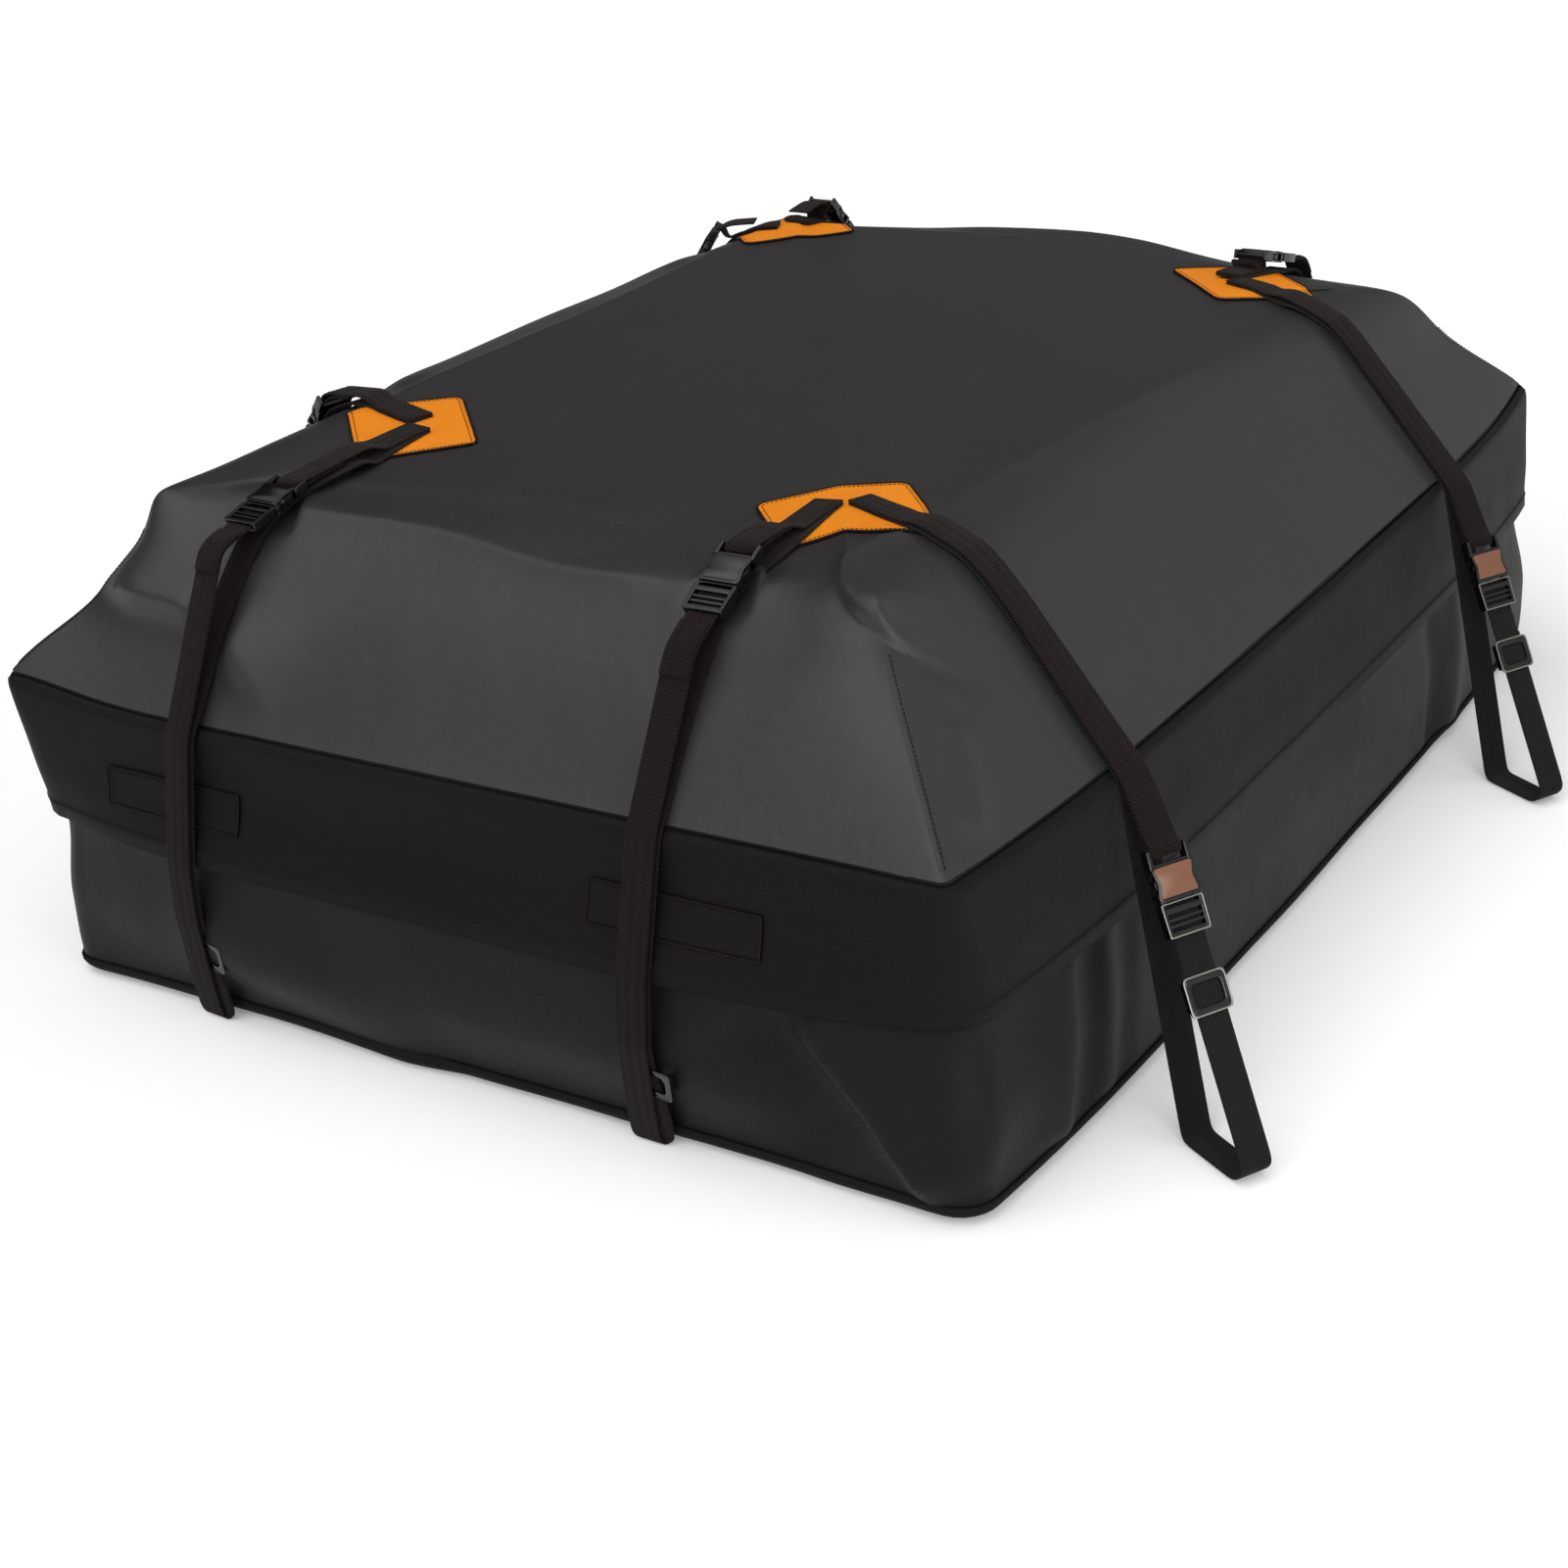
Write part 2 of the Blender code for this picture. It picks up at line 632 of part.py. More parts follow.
def plug_mesh(helpers):
    """The buckle's plug: a ladder that the webbing runs straight through, and arms that enter the socket."""
    half = PLUG_HALF_THICKNESS
    arm_out = CAVITY_HALF_WIDTH - CLEARANCE
    arm_in = WEB_ROOM
    start = CLEARANCE * 2
    tongue = PRONG_WIDTH / 2
    joined = [
        ((-PRONG_LENGTH, arm_in, -half * 0.8), (PLUG_LENGTH / 2, arm_out, half * 0.8)),
        ((-PRONG_LENGTH, -arm_out, -half * 0.8), (PLUG_LENGTH / 2, -arm_in, half * 0.8)),
        ((-PRONG_LENGTH * 0.85, -tongue, -half * 0.85), (PLUG_LENGTH / 2, tongue, -WEB_WINDOW * 1.1)),
    ]
    first = start + PLUG_LENGTH * 0.18
    last = start + PLUG_LENGTH - PLUG_BAR
    cut = [
        ((-FAR, -arm_in, -WEB_WINDOW), (FAR, arm_in, WEB_WINDOW)),
        ((-FAR, -arm_in, 0), (first, arm_in, FAR)),
        ((first + PLUG_BAR, -arm_in, 0), (last, arm_in, FAR)),
    ]
    low, high = (start, -HALF_BUCKLE, -half), (start + PLUG_LENGTH, HALF_BUCKLE, half)
    return carved_fitting("buckle_plug", low, high, 0.0012, joined, cut, helpers)


def triglide_mesh(helpers):
    """The strap's tri-glide: two end bars under the webbing and a middle bar over it."""
    half_length, half = TRIGLIDE_LENGTH / 2, TRIGLIDE_THICKNESS / 2
    bar = TRIGLIDE_BAR / 2
    cut = [
        ((-FAR, -WEB_ROOM, -WEB_WINDOW), (FAR, WEB_ROOM, WEB_WINDOW)),
        ((-FAR, -WEB_ROOM, 0), (-bar, WEB_ROOM, FAR)),
        ((bar, -WEB_ROOM, 0), (FAR, WEB_ROOM, FAR)),
        ((-half_length + TRIGLIDE_BAR, -WEB_ROOM, -FAR), (half_length - TRIGLIDE_BAR, WEB_ROOM, 0)),
    ]
    low = (-half_length, -HALF_BUCKLE, -half)
    return carved_fitting("triglide", low, (half_length, HALF_BUCKLE, half), 0.0012, [], cut, helpers)


def surface_trees(objects):
    bpy.context.view_layer.update()
    graph = bpy.context.evaluated_depsgraph_get()
    return [BVHTree.FromObject(obj, graph) for obj in objects]


def outermost_hit(trees, origin, direction):
    """The last surface met on the way out from a point inside the bag, found from outside."""
    reach = 2.0
    far = origin + direction * reach
    hits = [tree.ray_cast(far, -direction, reach) for tree in trees]
    found = [(hit[3], hit[0]) for hit in hits if hit[0] is not None]
    return min(found)[1] if found else None


def taut(points, centre, end=None):
    """The line that tight webbing takes over points, from above the centre round and down to an end."""

    def angle(point):
        return math.atan2(point.y - centre.y, point.x - centre.x)

    if end is not None:
        points = [point for point in points if angle(point) > angle(end)] + [end]
    ordered = sorted(points, key=angle, reverse=True)
    kept = []
    for point in ordered:
        while len(kept) > 1 and (kept[-1] - kept[-2]).cross(point - kept[-1]) >= 0:
            kept.pop()
        kept.append(point)
    return kept


def thinned(path, tolerance):
    """A path without the points that lie within a tolerance of the line between their neighbours kept."""
    if len(path) < 3:
        return path
    first, last = path[0], path[-1]
    along = (last - first).normalized()
    offs = [abs(along.cross(point - first)) for point in path[1:-1]]
    worst = max(range(len(offs)), key=offs.__getitem__)
    if offs[worst] <= tolerance:
        return [first, last]
    return thinned(path[: worst + 2], tolerance)[:-1] + thinned(path[worst + 1 :], tolerance)


def outward(direction):
    """The side of a path that faces away from the bag, for a path that runs from the top down."""
    return Vector((-direction.y, direction.x))


def offset_path(path, distance):
    """A path moved outwards by a distance."""
    sides = [outward((b - a).normalized()) for a, b in zip(path, path[1:])]
    moved = []
    for i, point in enumerate(path):
        before, after = sides[max(i - 1, 0)], sides[min(i, len(sides) - 1)]
        middle = (before + after).normalized()
        moved.append(point + middle * (distance / middle.dot(before)))
    return moved


def length_of(path):
    return sum((b - a).length for a, b in zip(path, path[1:]))


def place_on(path, length):
    """The point and the direction of a path at a length from its start."""
    for a, b in zip(path, path[1:]):
        step = (b - a).length
        if length <= step:
            return a.lerp(b, length / step), (b - a) / step
        length -= step
    return path[-1].copy(), (path[-1] - path[-2]).normalized()


def length_at(path, point):
    """How far along a path its nearest place to a point is."""
    best, walked = None, 0.0
    for a, b in zip(path, path[1:]):
        step = b - a
        t = min(max((point - a).dot(step) / step.length_squared, 0), 1)
        gap = (a + step * t - point).length
        if best is None or gap < best[0]:
            best = (gap, walked + step.length * t)
        walked += step.length
    return best[1]


def at_height(path, height):
    """The point and the direction of a path where it comes down through a height."""
    for a, b in zip(path, path[1:]):
        if a.y >= height > b.y:
            return a.lerp(b, (a.y - height) / (a.y - b.y)), (b - a).normalized()
    raise ValueError(f"no part of the path comes down through {height}")


def stretch(path, start, end):
    """The part of a path between two lengths."""
    kept, walked = [place_on(path, start)[0]], 0.0
    for a, b in zip(path, path[1:]):
        walked += (b - a).length
        if start < walked < end:
            kept.append(b)
    return kept + [place_on(path, end)[0]]


def rounded(path, radius):
    """A path with its sharper turns bent on short arcs."""
    result = [path[0]]
    for a, b, c in zip(path, path[1:], path[2:]):
        before, after = b - a, c - b
        turn = before.angle(after, 0.0)
        if turn < WEB_SHARP_TURN:
            result.append(b)
            continue
        cut = min(radius * math.tan(min(turn, 2.4) / 2), before.length * 0.45, after.length * 0.45)
        first, last = b - before.normalized() * cut, b + after.normalized() * cut
        steps = 2 if turn < 0.6 else 4
        for i in range(steps + 1):
            t = i / steps
            result.append(first.lerp(b, t).lerp(b.lerp(last, t), t))
    return result + [path[-1]]


@dataclass
class StrapLine:
    """The upright sheet that one strap pair lies in: from above, a line that may turn near the seam.

    A place in it is (s, z): how far out along the line, and the height.
    """

    origin: Vector
    first: Vector
    second: Vector
    turn_at: float
    lean: float

    def level(self, s):
        """The line's point and direction seen from above."""
        start = self.turn_at - TURN_REACH
        if s <= start:
            return self.origin + self.first * s, self.first
        t = min((s - start) / (2 * TURN_REACH), 1.0)
        point = self.origin + self.first * start
        point += (self.first * (t - t * t / 2) + self.second * (t * t / 2)) * 2 * TURN_REACH
        point += self.second * max(s - self.turn_at - TURN_REACH, 0.0)
        return point, self.first.lerp(self.second, t).normalized()

    def world(self, point, aside=0.0):
        level, direction = self.level(point.x)
        depth = max(0.0, 1 - point.y / SEAM_HEIGHT)
        across = Vector((-direction.y, direction.x, 0))
        return level + across * (aside + self.lean * depth * depth) + Vector((0, 0, point.y))

    def frame_at(self, point, tangent, aside=0.0):
        """Where a fitting sits: its x down the strap, its y across it and its z out of the bag."""
        along = (self.world(point + tangent * 0.001) - self.world(point - tangent * 0.001)).normalized()
        direction = self.level(point.x)[1]
        across = Vector((-direction.y, direction.x, 0))
        out = along.cross(across).normalized()
        if out.dot(direction * outward(tangent).x + Vector((0, 0, outward(tangent).y))) < 0:
            out = -out
        frame = Matrix((along, out.cross(along), out)).transposed().to_4x4()
        frame.translation = self.world(point, aside)
        return frame


def strap_line(corner, to_end):
    run = corner.run(to_end)
    first, low = strap_direction(corner, to_end), math.radians(run.low_angle)
    origin = Vector((*corner.patch_at, 0))
    if to_end:
        return StrapLine(origin, first, first, 1.0, -first.y * run.lean)
    seam = on_strap_line(corner, False, Vector((corner.sign_x, 0, 0)), SEAM_X + SEAM_SWELL)
    second = Vector((math.cos(low), math.sin(low), 0))
    return StrapLine(origin, first, second, (seam - origin).length, 0.0)


def contact_line(line, trees):
    """The tight line over everything that a strap crosses, found with rays from above and from outside."""
    points = []
    straight = line.first == line.second
    half_width = HALF_BUCKLE + (LAYER_SHIFT if straight else 0.0)
    for share in (-1, -0.5, 0, 0.5, 1):
        for step in range(CONTACT_STEPS):
            s = CONTACT_REACH * step / CONTACT_STEPS
            inside = line.world(Vector((s, CONTACT_CENTRE_HEIGHT)), share * half_width)
            hit = outermost_hit(trees, inside, Vector((0, 0, 1)))
            if hit is not None and hit.z > BINDING_FOOT:
                points.append(Vector((s, hit.z)))
            height = BINDING_FOOT + SEAM_HEIGHT * step / CONTACT_STEPS
            far = line.world(Vector((CONTACT_REACH, height)), share * half_width)
            hit = outermost_hit(trees, far - line.second * CONTACT_REACH, line.second)
            if hit is not None:
                s = CONTACT_REACH - (far - hit).length
                if straight or s > line.turn_at + TURN_REACH:
                    points.append(Vector((s, height)))
    return thinned(taut(points, Vector((0, CONTACT_CENTRE_HEIGHT))), CONTACT_TOLERANCE)


def ribbon(name, line, path, surface, group, shift=0.0, shift_from=0.0, shift_to=1.0):
    """Flat webbing along a path in a strap's sheet, aside by a shift that fades out between two lengths."""
    asides, walked = [], 0.0
    for i, point in enumerate(path):
        walked += (point - path[i - 1]).length if i else 0.0
        drifted = min(walked / SHIFT_RUN, 1.0)
        back = min(max((walked - shift_from) / (shift_to - shift_from), 0.0), 1.0)
        asides.append(shift * drifted * (1 - back))
    edges = []
    for side in (-1, 1):
        edges.append([line.world(p, aside + side * WEB_WIDTH / 2) for p, aside in zip(path, asides)])
    obj = add_object(name, mesh_from_rings(name, edges, False, False), surface, group)
    thicken(obj, WEB_THICKNESS, 0)
    return obj


def patch_apart(corner):
    """How far from their common start a corner's two straps begin, so that only their corners come close."""
    between = strap_direction(corner, True).angle(strap_direction(corner, False))
    half = WEB_WIDTH / 2
    return half / math.tan(between / 2) + STRAP_END_GAP, half / math.sin(between / 2)


def draped(levels, trees):
    """Points over the bag for a grid seen from above, raised where the bag bulges between them."""

    def top(level):
        return outermost_hit(trees, level, Vector((0, 0, 1))).z

    tops = [[top(level) for level in row] for row in levels]
    rows = []
    for j, row in enumerate(levels):
        points = []
        for i, level in enumerate(row):
            lift = 0.0
            for dj, di in ((0, 1), (1, 0), (1, 1), (1, -1), (0, -1), (-1, 0), (-1, -1), (-1, 1)):
                if 0 <= j + dj < len(levels) and 0 <= i + di < len(row):
                    between = (level + levels[j + dj][i + di]) / 2
                    chord = (tops[j][i] + tops[j + dj][i + di]) / 2
                    lift = max(lift, top(between) - chord)
            points.append(Vector((level.x, level.y, tops[j][i] + lift)))
        rows.append(points)
    return rows


def build_patch(corner, trees, surface, group):
    """The sewn patch under the point where a corner's two straps meet."""
    bisector = (strap_direction(corner, True) + strap_direction(corner, False)).normalized()
    forward = patch_apart(corner)[1] + PATCH_FORWARD[corner.name]
    centre = Vector((*corner.patch_at, 0)) + bisector * forward
    long_axis = Vector((corner.sign_x, -corner.sign_y, 0)).normalized()
    wide_axis = Vector((-long_axis.y, long_axis.x, 0))
    columns, lines = 9, 7
    levels = []
    for j in range(lines):
        row = []
        for i in range(columns):
            x, y = 2 * i / (columns - 1) - 1, 2 * j / (lines - 1) - 1
            trim = PATCH_CORNER * 0.3 if abs(x) == 1 and abs(y) == 1 else 0
            level = centre + long_axis * x * (PATCH_LENGTH / 2 - trim)
            level += wide_axis * y * (PATCH_WIDTH / 2 - trim)
            row.append(level)
        levels.append(row)
    rows = [[point + Vector((0, 0, PATCH_LIFT)) for point in row] for row in draped(levels, trees)]
    name = f"{corner.name}_patch"
    obj = add_object(name, mesh_from_rings(name, rows, False, False), surface, group)
    thicken(obj, PATCH_THICKNESS, 1)
    return obj


def build_keeper(corner, line, inner, trees, surface, group):
    """The sewn loop on the flap that holds the lower layer of an end strap."""
    out_axis = Vector((0, corner.sign_y, 0))
    turned = line.level(0)[1].y < 0
    shift = layer_shift(line)
    rows = []
    for share in (-1, 0, 1):
        height = KEEPER_CENTRE_HEIGHT + share * KEEPER_HEIGHT / 2
        over = at_height(inner, height)[0]
        half = WEB_WIDTH / 2 + KEEPER_SIDE_ROOM
        raised = [line.world(over, shift + side * half) for side in ((-1, 1) if turned else (1, -1))]
        raised = [point + out_axis * (WEB_THICKNESS / 2 + CLEARANCE) for point in raised]
        middle = line.world(over).x + corner.sign_x * KEEPER_SHIFT[corner.name]
        sewn = []
        for start, end in (
            (middle - KEEPER_LENGTH / 2, raised[0].x - KEEPER_STEP),
            (raised[1].x + KEEPER_STEP, middle + KEEPER_LENGTH / 2),
        ):
            xs = [start + (end - start) * i / 4 for i in range(5)]
            hits = [outermost_hit(trees, Vector((x, 0, height)), out_axis) for x in xs]
            sewn.append([hit + out_axis * CLEARANCE for hit in hits])
        row = [*sewn[0], *raised, *sewn[1]]
        rows.append(row if corner.sign_y < 0 else row[::-1])
    name = f"{corner.name}_keeper"
    obj = add_object(name, mesh_from_rings(name, rows, False, False), surface, group)
    thicken(obj, KEEPER_THICKNESS, 1)
    return obj


def layer_shift(line):
    """How far an end strap's lower layer lies aside of its upper one, towards +X."""
    return LAYER_SHIFT if line.level(0)[1].y < 0 else -LAYER_SHIFT


def straight_run(point, tangent, before, after, lift):
    """The two ends of a straight run that stands off the strap's line by a lift."""
    out = outward(tangent) * lift
    return point - tangent * before + out, point + tangent * after + out


def sewn_start(line, trees, start):
    """The first stretch of a strap's lower layer, where it is sewn down on its patch."""
    points = []
    for s in (start, start + SEWN_START):
        levels = [line.world(Vector((s, CONTACT_CENTRE_HEIGHT)), side * WEB_WIDTH / 2) for side in (-1, 0, 1)]
        top = max(outermost_hit(trees, level, Vector((0, 0, 1))).z for level in levels)
        points.append(Vector((s, top + WEB_THICKNESS / 2 + SEWN_GAP)))
    return points


def build_strap(corner, to_end, trees, surfaces, fittings, group):
    """One strap pair: the long lower layer that turns back at its foot, and the short one above it."""
    name = f"{corner.name}_{'end' if to_end else 'side'}"
    line = strap_line(corner, to_end)
    contact = contact_line(line, trees)
    centre = Vector((0, CONTACT_CENTRE_HEIGHT))
    lift = WEB_THICKNESS / 2 + WEB_LIFT
    layer = WEB_THICKNESS + WEB_LAYER_GAP
    floor = WEB_THICKNESS / 2 + FLOOR_GAP
    inner, outer = offset_path(contact, lift), offset_path(contact, lift + layer)
    glide_room = TRIGLIDE_LENGTH / 2 + TRIGLIDE_TRAVEL + STRAIGHT_SPARE
    before, after = SOCKET_LENGTH + STRAIGHT_SPARE, PLUG_LENGTH + PLUG_TRAVEL + STRAIGHT_SPARE
    shift = 0.0
    if to_end:
        shift = layer_shift(line)
        foot_in = Vector((max(p.x for p in inner if p.y < FOOT_ZONE), FOOT_TURN_HEIGHT))
        foot_out = foot_in + Vector((layer, 0))
        turn = [Vector((foot_in.x + layer * 0.25, floor)), Vector((foot_out.x - layer * 0.25, floor))]
        inner = taut(inner, centre, foot_in)
        point, glide_tangent = place_on(inner, length_at(inner, Vector((foot_in.x, END_GLIDE_HEIGHT))))
        first, last = straight_run(point, glide_tangent, glide_room, glide_room, GLIDE_LIFT)
        inner = taut([*inner, first, last], centre, foot_in)
        glide_at = (first + last) / 2
        over_glide = straight_run(glide_at, glide_tangent, glide_room, glide_room, OVER_GLIDE)
        outer = taut([*outer, *over_glide], centre, foot_out)
    else:
        out_axis = Vector((corner.sign_x, 0, 0))
        straight_from = line.turn_at + TURN_REACH
        turned = line.level(straight_from)[0].dot(out_axis)
        reach = straight_from + (HALF_X + LOOP_REACH - turned) / line.second.dot(out_axis)
        foot_out = Vector((reach, LOOP_KNEE_HEIGHT))
        foot_in = Vector((foot_out.x - LOOP_WIDTH, FOOT_TURN_HEIGHT))
        turn = [Vector((foot_in.x + 0.004, floor)), Vector((foot_out.x - 0.010, floor))]
        inner = taut(inner, centre, foot_in)
    if corner.sign_x > 0 and not to_end:
        up = Vector((-math.sin(LOW_LEAN), math.cos(LOW_LEAN)))
        mouth, tangent = foot_out + up * LOW_MOUTH, -up
        outer = taut([*outer, mouth + up * before], centre, foot_out)
        glide_at, glide_tangent = mouth + tangent * LOW_GLIDE_FROM_MOUTH, tangent
    else:
        point, tangent = place_on(outer, BUCKLE_PLACES[name])
        first, last = straight_run(point, tangent, before, after, FITTING_LIFT)
        mouth = first + tangent * before
        outer = taut([*outer, first, last], centre, foot_out)
        if not to_end:
            glide_at, glide_tangent = at_height(outer, SIDE_GLIDE_HEIGHT)

    start = patch_apart(corner)[0]
    inner_start = length_at(inner, Vector((start, inner[0].y)))
    outer_start = length_at(outer, Vector((start, outer[0].y)))
    mouth_length = length_at(outer, mouth)
    sewn = sewn_start(line, trees, start)
    free = stretch(inner, inner_start + SEWN_START + SEWN_RISE, length_of(inner))
    lower = rounded(sewn + free + turn + [foot_out], WEB_BEND)
    back = stretch(outer, mouth_length + WEB_END_FROM_MOUTH, length_of(outer))[::-1]
    path = lower[:-1] + rounded([lower[-1]] + back[1:], WEB_BEND)
    turn_length = length_of(lower)
    turn_start = turn_length - length_of([foot_in, *turn, foot_out])
    surface = surfaces["webbing"]
    ribbon(f"{name}_long_strap", line, path, surface, group, shift, turn_start, turn_length)

    bar = mouth + tangent * (SOCKET_BAR - SOCKET_LENGTH)
    bar_length = mouth_length - SOCKET_LENGTH + SOCKET_BAR
    wrap = WEB_THICKNESS / 2 + WEB_WINDOW + CLEARANCE
    out = outward(tangent)
    route = rounded(stretch(outer, outer_start, bar_length - SOCKET_BAR - TAIL_RISE), WEB_BEND)
    route.append(bar - tangent * SOCKET_BAR + out * wrap)
    for step in range(7):
        angle = math.pi / 2 - math.pi * step / 6
        route.append(bar + tangent * wrap * math.cos(angle) + out * wrap * math.sin(angle))
    route.append(bar - tangent * SOCKET_BAR - out * wrap)
    for share in (0.3, 1.0):
        point, direction = place_on(outer, bar_length - SOCKET_BAR - TAIL_RISE - SEWN_TAIL * share)
        route.append(point - outward(direction) * (WEB_THICKNESS + CLEARANCE))
    ribbon(f"{name}_short_strap", line, route, surface, group)

    parts = [("buckle_socket", mouth, tangent), ("buckle_plug", mouth, tangent)]
    parts.append(("triglide", glide_at, glide_tangent))
    for part, point, direction in parts:
        obj = add_object(f"{name}_{part}", fittings[part], surfaces[part], group)
        obj.matrix_world = line.frame_at(point, direction, shift if part == "triglide" else 0.0)
    return line, inner


def main():
    clear_scene()
    group = collection("rooftop_cargo_carrier", True)
    helpers = collection("cutters", False)
    coated_cloth = material("coated_cloth", (0.050, 0.048, 0.047), 0.50)
    flap_cloth = material("flap_cloth", (0.022, 0.020, 0.020), 0.60)
    binding_tape = material("binding_tape", (0.016, 0.014, 0.014), 0.75)
    patch_cloth = material("patch_cloth", (1.0, 0.28, 0.010), 0.60)
    zip_nylon = material("zip_nylon", (0.010, 0.010, 0.010), 0.50)
    slider_zinc = material("slider_zinc", (0.25, 0.25, 0.26), 0.35, metallic=1.0)
    moulded_black = material("moulded_black", (0.012, 0.012, 0.012), 0.30)
    surfaces = {"webbing": material("webbing", (0.018, 0.013, 0.012), 0.80)}
    surfaces.update(dict.fromkeys(("buckle_socket", "buckle_plug", "triglide"), moulded_black))
    bag = build_bag(group, coated_cloth)
    flap = build_flap(group, flap_cloth)
    binding = build_binding(group, binding_tape)
    build_zip(group, zip_nylon, slider_zinc)
    patches = [build_patch(corner, surface_trees([bag]), patch_cloth, group) for corner in CORNERS]
    trees = surface_trees([bag, flap, binding, *patches])
    fittings = {
        "buckle_socket": socket_mesh(helpers),
        "buckle_plug": plug_mesh(helpers),
        "triglide": triglide_mesh(helpers),
    }
    for corner in CORNERS:
        line, inner = build_strap(corner, True, trees, surfaces, fittings, group)
        build_keeper(corner, line, inner, surface_trees([bag, flap]), flap_cloth, group)
        build_strap(corner, False, trees, surfaces, fittings, group)


main()
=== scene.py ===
"""Dresses a packed rooftop cargo carrier: coated cloth, storm flap, webbing, buckles and stitching.

The CAD frame is fixed. Every piece here is built in metres in its coordinates and rides on one of its bodies.
"""

import json
import logging
import math
from dataclasses import dataclass, field
from enum import Enum

import bmesh
import bpy
import numpy as np
from mathutils import Matrix, Vector, noise
from mathutils.bvhtree import BVHTree


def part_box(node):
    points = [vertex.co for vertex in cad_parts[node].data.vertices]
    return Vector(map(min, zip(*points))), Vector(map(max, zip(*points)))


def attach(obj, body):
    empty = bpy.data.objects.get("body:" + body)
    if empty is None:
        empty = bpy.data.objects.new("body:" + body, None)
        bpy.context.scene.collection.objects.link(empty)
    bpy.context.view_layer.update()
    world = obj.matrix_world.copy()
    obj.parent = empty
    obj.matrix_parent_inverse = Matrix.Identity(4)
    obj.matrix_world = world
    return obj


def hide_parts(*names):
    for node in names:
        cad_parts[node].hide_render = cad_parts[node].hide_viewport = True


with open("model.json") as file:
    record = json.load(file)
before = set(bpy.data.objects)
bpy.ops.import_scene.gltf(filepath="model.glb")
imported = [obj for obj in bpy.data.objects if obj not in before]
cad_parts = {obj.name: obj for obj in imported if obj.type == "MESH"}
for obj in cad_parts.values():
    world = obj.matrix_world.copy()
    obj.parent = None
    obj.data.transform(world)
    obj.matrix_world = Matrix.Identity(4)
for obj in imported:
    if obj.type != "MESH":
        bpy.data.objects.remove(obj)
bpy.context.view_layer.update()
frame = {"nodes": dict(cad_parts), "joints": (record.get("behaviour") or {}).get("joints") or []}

log = logging.getLogger("rooftop_cargo_carrier")
Array = np.ndarray
Material = bpy.types.Material
Mesh = bpy.types.Mesh
Piece = bpy.types.Object
Tree = bpy.types.NodeTree
Outline = list[tuple[float, float]]


class Slot(Enum):
    """The record's material slots that the pieces here belong to."""

    COATED_CLOTH = "coated_cloth"
    FLAP_CLOTH = "flap_cloth"
    BINDING_TAPE = "binding_tape"
    WEBBING = "webbing"
    PATCH_CLOTH = "patch_cloth"
    MOULDED_BLACK = "moulded_black"


class Corner(Enum):
    """The bag's four corners, seen from above with the front down."""

    FRONT_LEFT = "front_left"
    FRONT_RIGHT = "front_right"
    REAR_RIGHT = "rear_right"
    REAR_LEFT = "rear_left"

    @property
    def sign_x(self) -> int:
        """Which side of the middle the corner is on, along X."""
        return 1 if self.value.endswith("right") else -1

    @property
    def sign_y(self) -> int:
        """Which side of the middle the corner is on, along Y."""
        return -1 if self.value.startswith("front") else 1


class Run(Enum):
    """The two strap pairs of a corner: one over the short end, one over the long side."""

    END = "end"
    SIDE = "side"


# Colours and nodes


def linear(code: str) -> tuple[float, float, float, float]:
    """Turns an sRGB hex colour into linear light.

    Args:
        code: The colour as "#rrggbb".

    Returns:
        Red, green, blue and an alpha of 1.
    """
    values = [int(code[i : i + 2], 16) / 255 for i in (1, 3, 5)]
    red, green, blue = [v / 12.92 if v <= 0.04045 else ((v + 0.055) / 1.055) ** 2.4 for v in values]
    return (red, green, blue, 1.0)


def add_node(tree: Tree, kind: str, settings: dict | None = None, links: dict | None = None) -> bpy.types.Node:
    """Adds one node with its settings and the links into it.

    Args:
        tree: The node tree of a material or the world.
        kind: The node's type.
        settings: Values by attribute name, or by an input's name or number.
        links: Output sockets by the name or number of the input that they feed.

    Returns:
        The new node.
    """
    node = tree.nodes.new(kind)
    for key, value in (settings or {}).items():
        if isinstance(key, str) and hasattr(node, key):
            setattr(node, key, value)
        else:
            node.inputs[key].default_value = value
    for key, socket in (links or {}).items():
        tree.links.new(socket, node.inputs[key])
    return node


def blank_material(name: str) -> tuple[Material, Tree, bpy.types.Node]:
    """Makes a node material.

    Args:
        name: The finish's name.

    Returns:
        The material, its tree and its shader.
    """
    made = bpy.data.materials.new(name)
    made.use_nodes = True
    return made, made.node_tree, made.node_tree.nodes["Principled BSDF"]


